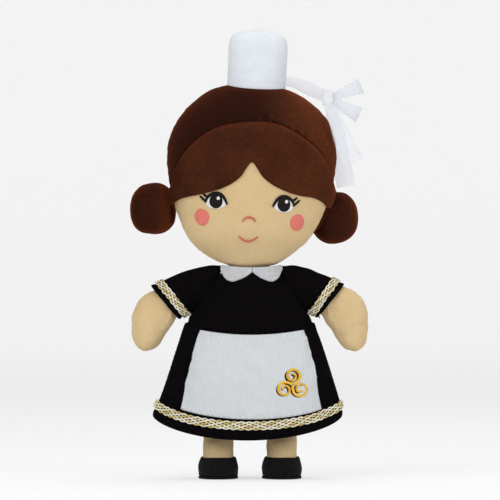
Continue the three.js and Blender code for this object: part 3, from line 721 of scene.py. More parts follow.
def stitch_group() -> bpy.types.NodeTree:
    """Threads side by side, across the first direction of the piece's map, each a rounded ridge, with painted shade in
    the grooves between them.

    Returns:
        The group, with the colour and the normal.
    """
    name = "satin stitch"
    if name in bpy.data.node_groups:
        return bpy.data.node_groups[name]
    wiring, given, taken = new_group(name, {"Thread": 0.35, "Slant": 0.15, "Depth": 0.2})
    chart = wiring.add("ShaderNodeUVMap", uv_map=CHART).outputs[0]
    axes = wiring.add("ShaderNodeSeparateXYZ", {0: chart}).outputs
    uneven = wiring.add("ShaderNodeTexNoise", {"Vector": chart, "Scale": 1.5, "Detail": 2.0}).outputs[0]
    slanted = wiring.math("ADD", axes[0], wiring.math("MULTIPLY", axes[1], given["Slant"]))
    shifted = wiring.math("ADD", slanted, wiring.math("MULTIPLY", uneven, 0.5))
    turn = wiring.math("MULTIPLY", wiring.math("DIVIDE", shifted, given["Thread"]), math.pi)
    ridge = wiring.math("ABSOLUTE", wiring.math("SINE", turn))
    # Painted shade: the colour turns to the shade's colour in the grooves between threads.
    painted_groove_shade = wiring.math("POWER", wiring.math("SUBTRACT", 1.0, ridge), 2.0)
    color = wiring.mix(wiring.math("MULTIPLY", painted_groove_shade, 0.8), given["Color"], given["Shade"])
    wiring.feed(taken, {"Color": color, "Normal": wiring.bump(ridge, given["Depth"], 0.8)})
    return wiring.tree


def new_material(name: str) -> tuple[bpy.types.Material, Wiring, bpy.types.Node]:
    """A material with its wiring and its Principled shader."""
    made = bpy.data.materials.new(name)
    made.use_nodes = True
    return made, Wiring(made.node_tree), made.node_tree.nodes["Principled BSDF"]


@dataclass(frozen=True)
class Finish:
    """What a piece is made of.

    Attributes:
        name: Name of the material.
        slot: The record's material slot.
        color: Its colour, 0 to 255.
    """

    name: str
    slot: str
    color: Color

    def material(self) -> bpy.types.Material:
        """Makes the material, once.

        Returns:
            The material.
        """
        if self.name not in bpy.data.materials:
            _, wiring, shader = new_material(self.name)
            wiring.feed(shader.inputs, self.sockets(wiring))
        return bpy.data.materials[self.name]

    def sockets(self, wiring: Wiring) -> dict[str, object]:
        """What the shader's sockets hold, where a plain finish has only its colour."""
        return {"Base Color": linear(self.color)}


@dataclass(frozen=True)
class Cloth(Finish):
    """A brushed, knitted or felted cloth, with patches in the shade's colour where the pile lies the other way.

    The size of a patch, the distance between knit rows, and the size and height of the fuzz are in millimetres;
    the rest are strengths from 0 to about 1. The painted left shade says how much painted shade darkens the surfaces
    that face left.
    """

    shade: Color
    patch: float = 14.0
    patches: float = 0.5
    mottling: float = 0.4
    row_pitch: float = 0.9
    rows: float = 0.2
    fuzz: float = 1.0
    fuzz_size: float = 0.45
    depth: float = 0.2
    roughness: float = 0.9
    sheen: float = 0.3
    sheen_color: Color = (255, 255, 255)
    gloss: float = 0.12
    lay: float = 0.0

    def sockets(self, wiring: Wiring) -> dict[str, object]:
        """What the shader's sockets hold.

        Args:
            wiring: The material's wiring.

        Returns:
            A value or a socket for each.
        """
        cloth = wiring.add("ShaderNodeGroup", {
            "Color": linear(self.color), "Shade": linear(self.shade), "Patch Size": self.patch, "Patches": self.patches,
            "Mottling": self.mottling, "Row Pitch": self.row_pitch, "Rows": self.rows, "Fuzz Size": self.fuzz_size,
            "Fuzz": self.fuzz, "Depth": self.depth, "Lay": self.lay,
        }, node_tree=pile_group()).outputs
        return {
            "Base Color": cloth["Color"], "Normal": cloth["Normal"], "Roughness": self.roughness,
            "Sheen Weight": self.sheen, "Sheen Roughness": 0.45, "Sheen Tint": linear(self.sheen_color),
            "Specular IOR Level": self.gloss,
        }


@dataclass(frozen=True)
class Thread(Finish):
    """Embroidery or braid of threads laid side by side, with painted shade in the shade's colour in the grooves between
    them.

    A thread's thickness and height are in millimetres, and its slant is a share.
    """

    shade: Color
    pitch: float = 0.4
    slant: float = 0.15
    depth: float = 0.15
    roughness: float = 0.45
    metallic: float = 0.0

    def sockets(self, wiring: Wiring) -> dict[str, object]:
        """What the shader's sockets hold.

        Args:
            wiring: The material's wiring.

        Returns:
            A value or a socket for each.
        """
        thread = wiring.add("ShaderNodeGroup", {
            "Color": linear(self.color), "Shade": linear(self.shade), "Thread": self.pitch, "Slant": self.slant,
            "Depth": self.depth,
        }, node_tree=stitch_group()).outputs
        return {
            "Base Color": thread["Color"], "Normal": thread["Normal"], "Roughness": self.roughness,
            "Metallic": self.metallic, "Specular IOR Level": 0.2,
        }


@dataclass(frozen=True)
class Sheer(Finish):
    """Thin see-through ribbon, whose threads let less light through than the gaps between them.

    Its cover is the share that one layer hides, and its threads are a pitch apart in millimetres.
    """

    cover: float = 0.27
    pitch: float = 0.5

    def sockets(self, wiring: Wiring) -> dict[str, object]:
        """What the shader's sockets hold.

        Args:
            wiring: The material's wiring.

        Returns:
            A value or a socket for each.
        """
        chart = wiring.add("ShaderNodeUVMap", uv_map=CHART).outputs[0]
        axes = wiring.add("ShaderNodeSeparateXYZ", {0: chart}).outputs
        threads = [wiring.math("SINE", wiring.math("MULTIPLY", axes[k], 2 * math.pi / self.pitch)) for k in (0, 1)]
        weave = wiring.math("MULTIPLY", wiring.math("ADD", *threads), 0.05)
        return {
            "Alpha": wiring.math("ADD", weave, self.cover), "Base Color": linear(self.color), "Roughness": 0.5,
            "Sheen Weight": 0.15,
        }


# The brown velours carry painted side shade: hair, fringe and buns turn darker where they face left.
HAIR = Cloth("brown velour", "hair", (87, 46, 25), (42, 18, 11), patch=26, patches=0.25, mottling=0.9, rows=0.15,
             fuzz_size=1.3, depth=0.3, sheen_color=(225, 105, 45), gloss=0.05, lay=2.0)
FRINGE_HAIR = replace(HAIR, name="brown velour of the fringe", shade=(50, 24, 15), patches=0.55, lay=0.35)
BUN_HAIR = replace(HAIR, name="brown velour of the buns", color=(62, 30, 17), patches=0.4, lay=0.6, sheen=0.45)
SKIN = Cloth("skin velour", "skin", (222, 195, 148), (210, 183, 134), patch=18, patches=0.4, mottling=0.42,
             row_pitch=1.0, rows=0.35, fuzz=0.8, fuzz_size=0.55, depth=0.17, sheen=0.25, sheen_color=(255, 238, 214))
BLACK = Cloth("black velour", "black", (12, 10, 12), (8, 6, 8), mottling=0.3, depth=0.18,
              roughness=0.95, sheen=0.0, gloss=0.03)
SLIPPER_FELT = Cloth("black felt", "slipper", (20, 18, 20), (12, 11, 13), mottling=0.5, rows=0.0, sheen=0.04,
                     sheen_color=(160, 160, 170))
APRON_FELT = Cloth("apron cloth", "apron", (214, 219, 222), (203, 208, 211), patch=6, patches=0.35, mottling=0.25,
                   row_pitch=1.1, rows=0.5, fuzz=0.8, fuzz_size=0.6, depth=0.22, sheen=0.05)
WHITE_FELT = Cloth("white cloth", "white", (202, 205, 208), (184, 187, 192), patch=3, rows=0.1, fuzz_size=0.8,
                   depth=0.28, sheen=0.05)
CAP_CLOTH = Cloth("cap cloth", "white", (222, 227, 232), (211, 216, 225), patch=10, mottling=0.12,
                  rows=0.05, fuzz=0.5, fuzz_size=0.5, depth=0.1, roughness=0.85, sheen=0.05)
FLESH_THREAD = Thread("pink thread", "blush", (224, 124, 110), (186, 90, 80), pitch=0.9, slant=0.5)
LIP_THREAD = Thread("coral thread", "blush", (214, 116, 98), (176, 84, 70), pitch=0.45)
EYE_THREAD = Thread("dark brown thread", "eye", (15, 8, 6), (5, 3, 3), pitch=0.45, roughness=0.6)
WHITE_THREAD = Thread("white thread", "eye_white", (240, 239, 236), (200, 198, 195))
GOLD_THREAD = Thread("gold thread", "ornament", (250, 203, 72), (226, 156, 42), roughness=0.5)
BLACK_THREAD = Thread("black thread", "ornament", (22, 18, 16), (7, 6, 6), roughness=0.6)
SEWING_THREAD = Thread("sewing thread", "apron", (184, 190, 190), (150, 155, 158), pitch=0.3, depth=0.08)
CREAM_BRAID = Thread("cream braid", "gold", (255, 251, 230), (208, 192, 148), pitch=0.5, slant=0.9, depth=0.2,
                     roughness=0.4)
GOLD_BRAID = Thread("gold braid", "gold", (222, 200, 128), (130, 104, 52), pitch=0.5, slant=0.9, depth=0.2,
                    roughness=0.4, metallic=0.2)
ORGANZA = Sheer("sheer ribbon", "organza", (226, 230, 238))


# Pieces


@dataclass
class Workshop:
    """Dresses a mesh, seats it on its body and names what it stands for."""

    made: list[str] = field(default_factory=list)

    def place(self, piece: Object, finish: Finish, body: str, replaces: tuple[str, ...] = ()) -> Object:
        """Finishes a piece.

        Args:
            piece: The new object.
            finish: What it is made of.
            body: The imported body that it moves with.
            replaces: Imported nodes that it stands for.

        Returns:
            The same object.
        """
        piece.name = "sewn_" + piece.name.split(".")[0]
        piece.data.materials.append(finish.material())
        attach(piece, body)
        if replaces:
            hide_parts(*replaces)
        self.made.append(piece.name)
        LOG.info("%s: %d faces on %s", piece.name, len(piece.data.polygons), body)
        return piece

    def sewn(self, name: str, patches: list[Patch], finish: Finish, body: str, own: bool = True) -> Object:
        """Makes a piece from its patches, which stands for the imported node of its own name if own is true."""
        return self.place(mesh_object(name, patches), finish, body, (name,) if own else ())

    def stuffed(
        self, name: str, points: Array, finish: Finish, body: str, also: tuple[str, ...] = (), fill: float = 0.9
    ) -> None:
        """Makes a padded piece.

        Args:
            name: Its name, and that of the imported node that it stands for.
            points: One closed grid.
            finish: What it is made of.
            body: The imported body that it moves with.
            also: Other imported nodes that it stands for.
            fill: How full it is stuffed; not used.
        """
        self.place(mesh_object(name, [Patch.of(points)]), finish, body, (name, *also))

    def sheet(self, piece: Object, points: Array, held: Held, rests_on: list[str]) -> None:
        """Logs the flat size of a sheet of cloth, as its own surface measures it.

        Args:
            piece: The sheet.
            points: One face of it, rows by columns.
            held: How it is held; not used.
            rests_on: What it lies on or hangs from; not used.
        """
        width = max(float(run(points, 1)[:, -1].max()) * MM, 0.0101)
        length = max(float(run(points, 0)[-1].max()) * MM, 0.0101)
        along, down = np.diff(points, axis=1)[:-1], np.diff(points, axis=0)[:, :-1]
        area = float(np.linalg.norm(np.cross(along, down), axis=-1).sum()) * MM**2
        area = min(max(area, 0.31 * width * length), width * length)
        LOG.info("%s: cut %.0f by %.0f mm, %.1f square cm", piece.name, width / MM, length / MM, area * 1e4)


def hemmed(points: Array, wall: float, inner: int) -> Array:
    """Turns the open last row of a tube of cloth over into its inside, and closes it further in.

    Args:
        points: The outer face, whose last row is the opening.
        wall: Thickness of the cloth.
        inner: How many rows the inner face has.

    Returns:
        Outer face, half-round hem, inner face and a last row in one point.
    """
    out = outward(points, True)
    ahead = unit(points[-1] - points[-2])
    angle = np.linspace(0, np.pi, 7)[1:-1, None, None]
    lip = points[-1] - out[-1] * wall / 2 * (1 - np.cos(angle)) + ahead * wall / 2 * np.sin(angle)
    inside = (points - out * wall)[: -inner - 1 : -1]
    middle = np.broadcast_to(inside[-1].mean(0), inside[-1:].shape)
    return np.concatenate([points, lip, inside, middle])


def tube(path: Array, up: Array, width: float, thickness: float) -> Patch:
    """A strand: an eight-sided ellipse carried along a path, wide across it and thin towards up.

    Args:
        path: Places along the strand.
        up: The direction of its thin side at each place.
        width: How wide it is.
        thickness: How thick it is.

    Returns:
        The strand, with the length along it as the first direction of its map.
    """
    along = unit(np.gradient(path, axis=0))
    across = unit(np.cross(along, up))
    lift = np.cross(across, along)
    angle = np.linspace(0, 2 * np.pi, 9)[:, None, None]
    points = path + (across * np.cos(angle) * width / 2 + lift * np.sin(angle) * thickness / 2)
    ends = [np.broadcast_to(points[:, [k]].mean(0), points[:, :1].shape) for k in (0, -1)]
    return Patch.of(np.concatenate([ends[0], points, ends[1]], axis=1))


@dataclass
class Assembly:
    """A sub-assembly of the doll, whose pieces are finished in the shop."""

    shop: Workshop


@dataclass
class Head(Assembly):
    """The stuffed head: face, crown and back panels, the fringe, and everything embroidered on the face."""

    chin: float = 0.9
    chin_drop: float = 1.4
    half_width: float = 50.3
    half_depth: float = 29.0
    top: float = 110.5
    seam_depth: float = 0.9
    seam_width: float = 1.5
    fringe_thickness: float = 1.5
    wrap: float = 0.08
    fringe_edge: tuple[Pair, ...] = (
        (-56, 23), (-46.4, 33.6), (-44.6, 36.9), (-41, 39.4), (-36.1, 41.1), (-27.3, 43.3), (-17.2, 46.6),
        (-10.8, 50.2), (-6.2, 54.3), (-2.9, 59.9), (0, 63.1), (3.1, 59.6), (7, 54.4), (13.3, 50), (21.8, 46.5),
        (29.7, 44.6), (37, 43.9), (42.4, 42), (46, 38.8), (56, 29),
    )
    hairline: tuple[Pair, ...] = (
        (-56, 34), (-46.7, 47.4), (-44.2, 57.8), (-37.6, 68.9), (-28.5, 77.8), (-17.4, 83.8), (-2.5, 86.7),
        (12.6, 86), (26, 81.3), (37.3, 73.4), (44.4, 64.2), (49.3, 50.6), (56, 34),
    )
    columns: int = 221

    def __post_init__(self) -> None:
        """Works out the head's form from its sizes."""
        wide, deep = self.half_width, self.half_depth
        self.form = StuffedForm([
            even(self.chin, 11, 6),
            even(self.chin + 4.8, 21.8, 12),
            even(20, 37.6, 22),
            even(38, wide - 4.5, deep - 2),
            even(56, wide - 0.5, deep),
            even(74, wide, deep - 0.5),
            even(91, wide - 6.8, deep - 4),
            even(104, wide - 21.6, deep - 12),
            even(self.top, 12, 7),
        ])
        self.middle = np.array([0, 0, 60.0])

    def surface(self, t: Array, turn: Array, shrink: Amount = 1.0, lift: Amount = 0.0) -> Array:
        """The head's surface, measured from the neck pivot: fuller on the left, with the dents of its stuffing.

        Args:
            t: Which ring, from 0 to 1.
            turn: Where on the ring, in radians.
            shrink: Scale of the ring.
            lift: How far the ring moves on.

        Returns:
            Places in millimetres.
        """
        points = self.form.point(t, turn, shrink, lift)
        x, z = points[..., 0], points[..., 2]
        fuller = 1.3 * near(x + 48, 18) * near(z - 62, 20) + 2.0 * near(x + 30, 14) * near(z - 13, 11)
        dents = 0.4 * wander(points, 42, seed=3)
        chin = np.stack([0 * x, 0 * x, self.chin_drop * near(x, 10) * near(z - self.chin, 2.2)], -1)
        return points + unit(points - self.middle) * (fuller + dents)[..., None] - chin

    def front(self, x: Array, z: Array) -> Array:
        """The head's surface that shows at x and z."""
        return self.surface(*self.form.facing(x, z))

    def crossing(self, line: tuple[Pair, ...], turn: Array) -> Array:
        """The t at which each turn crosses a line of x and z.

        Args:
            line: Places that the line runs through.
            turn: Where on the rings.

        Returns:
            The t of each turn.
        """
        knots = catmull(np.array(line), np.linspace(0, 1, 400))

        def under(t: Array) -> Array:
            """Whether the ring at t is below the line."""
            rows = self.form.rows_at(t)
            return rows[..., 1] < np.interp(rows[..., 2] * np.cos(turn), knots[:, 0], knots[:, 1])

        return halved(under, turn.shape)

    def build(self) -> None:
        """Makes the panels of the head and its fringe."""
        turn = np.linspace(-np.pi, 0, self.columns)
        seam = self.crossing(self.hairline, turn)
        share, shrink, lift = rounded_rows(np.linspace(0, 1, 90), start=0.6)
        points = self.surface((seam - 0.004) * share, turn, shrink, lift)
        points = points - outward(points) * 0.4 * near(to_edge(points, "b"), 3.0)[..., None]
        self.panel("face", points, shrink, to_edge(points, "b"), SKIN, ("face_panel", "head_stuffing"))
        share, shrink, lift = rounded_rows(np.linspace(0, 1, 60), end=1.5)
        points = self.surface(seam + (1 - seam) * share, turn, shrink, lift)
        self.panel("crown", points, shrink, to_edge(points, "t"), HAIR, ("crown_panel",))
        share, shrink, lift = rounded_rows(np.linspace(0, 1, 130), start=0.6, end=1.5)
        points = self.surface(share, np.linspace(0, np.pi, self.columns), shrink, lift)
        self.panel("back_hair", points, shrink, np.full(points.shape[:2], FAR), HAIR, ("back_hair_panel",))
        self.fringe()

    def panel(
        self, name: str, points: Array, shrink: Array, distance: Array, finish: Cloth, replaces: tuple[str, ...]
    ) -> None:
        """Makes one stuffed panel of the head, drawn in at its seams with small puckers beside them.

        Args:
            name: Name of the panel.
            points: The panel before it is sewn.
            shrink: Below one on its rounded ends, which have no side seam.
            distance: Distance from its curved seam.
            finish: Its cloth.
            replaces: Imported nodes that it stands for.
        """
        sides = to_edge(points, "lr") + FAR * (shrink < 1)
        depth = self.seam_depth * np.maximum(near(distance, self.seam_width), near(sides, self.seam_width))
        pucker = 0.16 * np.maximum(near(distance - 2.2, 2.6), near(sides - 2.2, 2.6)) * wander(points, 5.5, seed=8)
        points = points - outward(points) * (depth + pucker)[..., None]
        piece = mesh_object(name, [Patch.of(lean(points))], inside=lean(self.middle))
        thicken(piece, 1.0)
        self.shop.place(piece, finish, "head", replaces)

    def fringe(self) -> None:
        """Makes the fringe: a layer from its scalloped lower edge up to the curved seam that takes it in."""
        turn = np.linspace(-np.pi - self.wrap, self.wrap, self.columns)
        seam, edge = self.crossing(self.hairline, turn) + 0.006, self.crossing(self.fringe_edge, turn)
        share = np.concatenate([eased(25)[:12] * 0.3, np.linspace(0.15, 1, 50)])[:, None]
        points = self.surface(edge + (seam - edge) * share, turn)
        low_edge, at_seam, sides = to_edge(points, "t"), to_edge(points, "b"), to_edge(points, "lr")
        thick = edge_round(np.minimum(low_edge, sides), self.fringe_thickness, 0.9) * (1 - near(at_seam, 2.0))
        sunk = 0.55 * near(at_seam, self.seam_width)
        out = outward(points)
        flared = 0.9 * near(sides, 14) * near(low_edge, 22)
        puffed = 0.4 * near(at_seam - 7, 6) + 0.12 * wander(points, 9, seed=5) + flared
        inner = points - out * (sunk - 0.05)[..., None]
        outer = inner + out * (thick + np.maximum(puffed, 0) * np.minimum(thick, 1))[..., None]
        piece = self.shop.sewn("fringe", layer(lean(outer), lean(inner)), FRINGE_HAIR, "head")
        self.shop.sheet(piece, outer, Held.SEWN_ROUND, ["sewn_face"])


@dataclass
class Face(Assembly):
    """The embroidered face, whose pieces all lie on the head's front."""

    head: Head
    eye_x: float = 20.0
    eye_z: float = 39.0
    iris: Pair = (3.8, 4.25)
    white: Pair = (5.9, 4.1)
    lid: tuple[Pair, ...] = ((6.2, -0.8), (4.8, 2.5), (2.5, 4.2), (0, 4.8), (-2.6, 4.1), (-4.8, 1.7), (-6.6, -1.8))
    lid_width: float = 2.0
    lash_upper: tuple[Pair, ...] = ((4.4, 1.6), (6.0, 2.9), (7.9, 4.5))
    lash_lower: tuple[Pair, ...] = ((5.4, -0.8), (7.3, 0.9), (9.4, 3.0))
    lash_width: float = 1.3
    cheek: Pair = (4.2, 4.9)
    cheek_left: Triple = (-27.9, 29.3, 20.0)
    cheek_right: Triple = (28.6, 28.8, -14.0)
    nose: tuple[float, ...] = (30.2, 3.9, -2.6, 0.6, -0.7)
    mouth: tuple[float, ...] = (15.7, 5.85, 3.0, 0.55, 1.08)

    def disc(self, x: float, z: float, half: Pair, height: float, low: float, tilt: float = 0.0) -> list[Patch]:
        """A domed ellipse on the face: rings that grow from its middle.

        Args:
            x: Its middle across.
            z: Its middle up.
            half: Half its width and half its height.
            height: Thickness of the stitching.
            low: Height of its underside.
            tilt: How far it is turned, in degrees.

        Returns:
            Its two faces, mapped by x and z.
        """
        ring, angle = np.sin(np.linspace(0, np.pi / 2, 16))[:, None], np.linspace(0, 2 * np.pi, 65)
        ragged = 1 + 0.018 * np.sin(23 * angle) * (ring > 0.9)
        wide, tall = half[0] * ring * np.cos(angle) * ragged, half[1] * ring * np.sin(angle) * ragged
        c, s = math.cos(math.radians(tilt)), math.sin(math.radians(tilt))
        px, pz = x + wide * c - tall * s, z + wide * s + tall * c
        points = self.head.front(px, pz)
        out = outward(points, True, (0, -1, 0))
        out[0] = out[1].mean(0)
        thick = edge_round((1 - ring) * min(half), height, 0.8) * (0.8 + 0.2 * (1 - ring**2)) + 0 * px
        chart = np.stack([px, pz], -1)
        inner = points + out * low
        return [Patch(lean(inner + out * thick[..., None]), chart), Patch(lean(inner[:, ::-1]), chart[:, ::-1])]

    def stroke(
        self, knots: list[Pair], width: float, height: float, low: float = CLEAR, taper: float = 0.3
    ) -> list[Patch]:
        """A satin-stitched line on the face, round across and thinner at its ends.

        Args:
            knots: Places x and z that it runs through.
            width: Its width in the middle.
            height: Its height in the middle.
            low: Height of its underside.
            taper: Width of its ends as a share.

        Returns:
            Its two faces.
        """
        u = np.linspace(0, 1, 60)[:, None]
        line = catmull(np.array(knots, float), u[:, 0])
        wide = width / 2 * (taper + (1 - taper) * np.sin(np.pi * np.clip(u, 0.02, 0.98)) ** 0.5)
        outer, inner = satin(self.head.front, line, wide, height * blunt(u, 24), low, 13)
        return layer(lean(outer), lean(inner))

    def eye(self, side: Side) -> None:
        """Makes one eye: white, iris with its highlight, and the lid line with its lashes.

        Args:
            side: Which eye.
        """
        s, x, z, label = side.value, self.eye_x * side.value, self.eye_z, side.label
        self.shop.sewn(f"eye_white_{label}", self.disc(x, z - 0.6, self.white, 0.45, CLEAR), WHITE_THREAD, "head")
        self.shop.sewn(f"iris_{label}", self.disc(x, z, self.iris, 0.5, CLEAR + 0.45), EYE_THREAD, "head")
        highlight = self.disc(x + 1.3, z + 1.9, (0.95, 1.05), 0.3, CLEAR + 0.85)
        self.shop.sewn(f"eye_highlight_{label}", highlight, WHITE_THREAD, "head", own=False)

        def around(places: Sequence[Pair]) -> list[Pair]:
            """Places measured from the eye's middle, the first number towards the temple."""
            return [(x + s * outwards, z + up) for outwards, up in places]

        patches = self.stroke(around(self.lid), self.lid_width, 0.8, CLEAR + 0.4, taper=0.35)
        for lash in (self.lash_upper, self.lash_lower):
            patches += self.stroke(around(lash), self.lash_width, 0.7, CLEAR + 0.1, taper=0.55)
        self.shop.sewn(f"lashes_{label}", patches, EYE_THREAD, "head")

    def build(self) -> None:
        """Makes the eyes, cheeks, nose and mouth."""
        for side in Side:
            self.eye(side)
            x, z, tilt = self.cheek_left if side is Side.LEFT else self.cheek_right
            self.shop.sewn(f"cheek_{side.label}", self.disc(x, z, self.cheek, 0.55, CLEAR, tilt), FLESH_THREAD, "head")
        self.arc("nose", self.nose, 1.4)
        self.arc("mouth", self.mouth, 1.35)

    def arc(self, name: str, sizes: tuple[float, ...], width: float) -> None:
        """Makes a line that is the same on both sides of the middle.

        Args:
            name: Name of the piece.
            sizes: Height of its middle, half its span, how far its ends are above the middle, how far out its
                second points are as a share of half the span, and how far above the middle they are.
            width: Width of the line.
        """
        middle, half, rise, share, beside = sizes
        side = [(half * share, middle + beside), (half, middle + rise)]
        knots = [(-x, z) for x, z in side[::-1]] + [(0, middle)] + side
        self.shop.sewn(name, self.stroke(knots, width, 0.7), LIP_THREAD, "head")


@dataclass
class Cap(Assembly):
    """The tall stuffed cap, whose lower edge follows the crown."""

    head: Head
    half_width: float = 17.5
    half_depth: float = 12.0
    top: float = 142.2
    wall: float = 1.4

    def __post_init__(self) -> None:
        """Works out the cap's form from its sizes."""
        base, wide, deep = self.head.top, self.half_width, self.half_depth
        self.form = StuffedForm([
            even(base - 10, wide, deep),
            even(base + 6, wide - 0.2, deep),
            even(self.top - 11, wide, deep - 0.8),
            even(self.top - 4.6, wide - 1.3, deep - 2.6),
            even(self.top - 1.3, wide - 6, deep - 5.5),
            even(self.top, 5, 2.8),
        ], edge=1.0)

    def foot(self, turn: Array) -> Array:
        """The t at which each turn leaves the head.

        Args:
            turn: Where on the rings.

        Returns:
            The t of each turn.
        """

        def inside(t: Array) -> Array:
            """Whether the ring at t is still in the head."""
            x, y, z = np.moveaxis(self.form.point(t, turn), -1, 0)
            rows = self.head.form.rows_at(self.head.form.height_to_t(z))
            share = np.abs(x / rows[..., 2]) ** 2 + np.abs(y / rows[..., 4]) ** (2 / self.head.form.edge)
            return (share < 1) & (z < self.head.top + 0.5)

        return halved(inside, turn.shape)

    def build(self) -> None:
        """Makes the cap: its side, its domed top and the hem that turns in on the crown."""
        turn = np.linspace(-np.pi, np.pi, 145)
        share, shrink, lift = rounded_rows(np.linspace(0, 1, 80), end=0.8)
        foot = self.foot(turn)
        points = self.form.point(foot + (1 - foot) * share, turn, shrink, lift)
        rise = run(points, 0)
        dents = 0.2 * wander(points, 26, seed=21) + 0.06 * wander(points, 7, seed=22)
        hem = 0.3 - 0.15 * near(rise - 3.2, 1.0)
        seam = -0.35 * near(points[..., 1], 0.7) * (np.abs(points[..., 0]) > 2)
        points = swelled(points, dents * np.minimum(rise / 8, 1) + hem + seam)
        self.shop.stuffed("cap", lean(hemmed(points[::-1], self.wall, 8)), CAP_CLOTH, "head", ("cap_stuffing",), 0.8)


@dataclass
class Bun(Assembly):
    """A stuffed bun of hair, gathered where it is sewn to the head."""

    side: Side
    x: float
    y: float
    z: float
    half_width: float
    hinge: float
    half_height: float = 15.9
    half_depth: float = 10.5
    squareness: float = 0.88
    tuck: float = 0.0
    tuck_from: float = 56.0
    flop: float = 12.0
    clear: float = 1.06
    ring_power: float = 1.74
    outer_row: int = 72

    def build(self, head: Head) -> None:
        """Makes the bun: rings from the gathered pole beside the head to the outer pole.

        Its outline lies between an ellipse and a box: sines and cosines to a power below one.

        Args:
            head: The head beside it.
        """
        way = math.copysign(1, self.x)
        along, turn = np.linspace(0, np.pi, 90)[:, None], np.linspace(0, 2 * np.pi, 129)
        folds = near(along, 0.75) * (0.5 + 0.5 * np.cos(11 * turn + 0.8 * np.sin(3 * turn)))
        size = np.sin(along) ** (1 - (1 - self.squareness) * (along > np.pi / 2)) * (1 - 0.1 * folds)
        reach = np.sign(np.cos(along)) * np.abs(np.cos(along)) ** self.squareness
        points = np.stack([
            self.x - way * self.half_width * reach * (1 - 0.06 * near(along, 0.5)) + 0 * turn,
            self.y + self.half_depth * np.sin(turn) * size,
            self.z + self.half_height * np.cos(turn) * size,
        ], -1)
        pinned = np.broadcast_to(near(along, 0.5), points.shape[:2])
        moved = puff(points, pinned, 1.5, 0.6) - points
        points = points + moved + (moved[self.outer_row].mean(0) - moved) * near(along - np.pi, 0.6)[..., None]
        points = swelled(points, 0.28 * wander(points, 24, seed=31 + self.side.value))
        tucked = np.clip((self.tuck_from - np.abs(points[..., 0])) / 9, 0, 1) ** 1.5 * self.tuck
        points = self.beside(points + tucked[..., None] * np.array([0, 1.0, 0]), head)
        name, label = f"bun_{self.side.label}", self.side.label
        self.shop.stuffed(name, lean(points), BUN_HAIR, name, (f"bun_stuffing_{label}",))

    def beside(self, points: Array, head: Head) -> Array:
        """Presses the bun out of the head in each of its flops: sideways, until its place is over the head's ring.

        Args:
            points: Places of the bun.
            head: The head beside it.

        Returns:
            The pressed places.
        """
        for flop in (-self.flop, self.flop, 0.0):
            c, s = math.cos(math.radians(flop)), math.sin(math.radians(flop))
            turned = np.array([[c, -s, 0], [s, c, 0], [0, 0, 1.0]])
            pivot = np.array([self.hinge, 0, 0])
            places = (points - pivot) @ turned.T + pivot
            rows = head.form.rows_at(head.form.height_to_t(places[..., 2]))
            beyond = np.maximum(self.clear - np.abs(places[..., 1] / rows[..., 4]) ** self.ring_power, 0)
            way = math.copysign(1, self.x)
            places[..., 0] = way * np.maximum(way * places[..., 0], rows[..., 2] * np.sqrt(beyond))
            points = (places - pivot) @ turned + pivot
        return points


def ribbon_mesh(name: str, points: Array, thick: Array) -> Object:
    """A closed thin ribbon from its middle surface: two faces and four narrow borders.

    Args:
        name: Name of the piece.
        points: Rows across by columns along, measured from the neck pivot.
        thick: Thickness at each point.

    Returns:
        The new object.
    """
    shift = normals(points) * thick[..., None] / 2
    top, bottom = lean(points + shift), lean(points - shift)
    faces = layer(top, bottom)
    faces += [Patch.of(np.stack([bottom[0], top[0]])), Patch.of(np.stack([top[-1], bottom[-1]]))]
    faces += [Patch.of(np.stack([top[:, 0], bottom[:, 0]])), Patch.of(np.stack([bottom[:, -1], top[:, -1]]))]
    return mesh_object(name, faces)


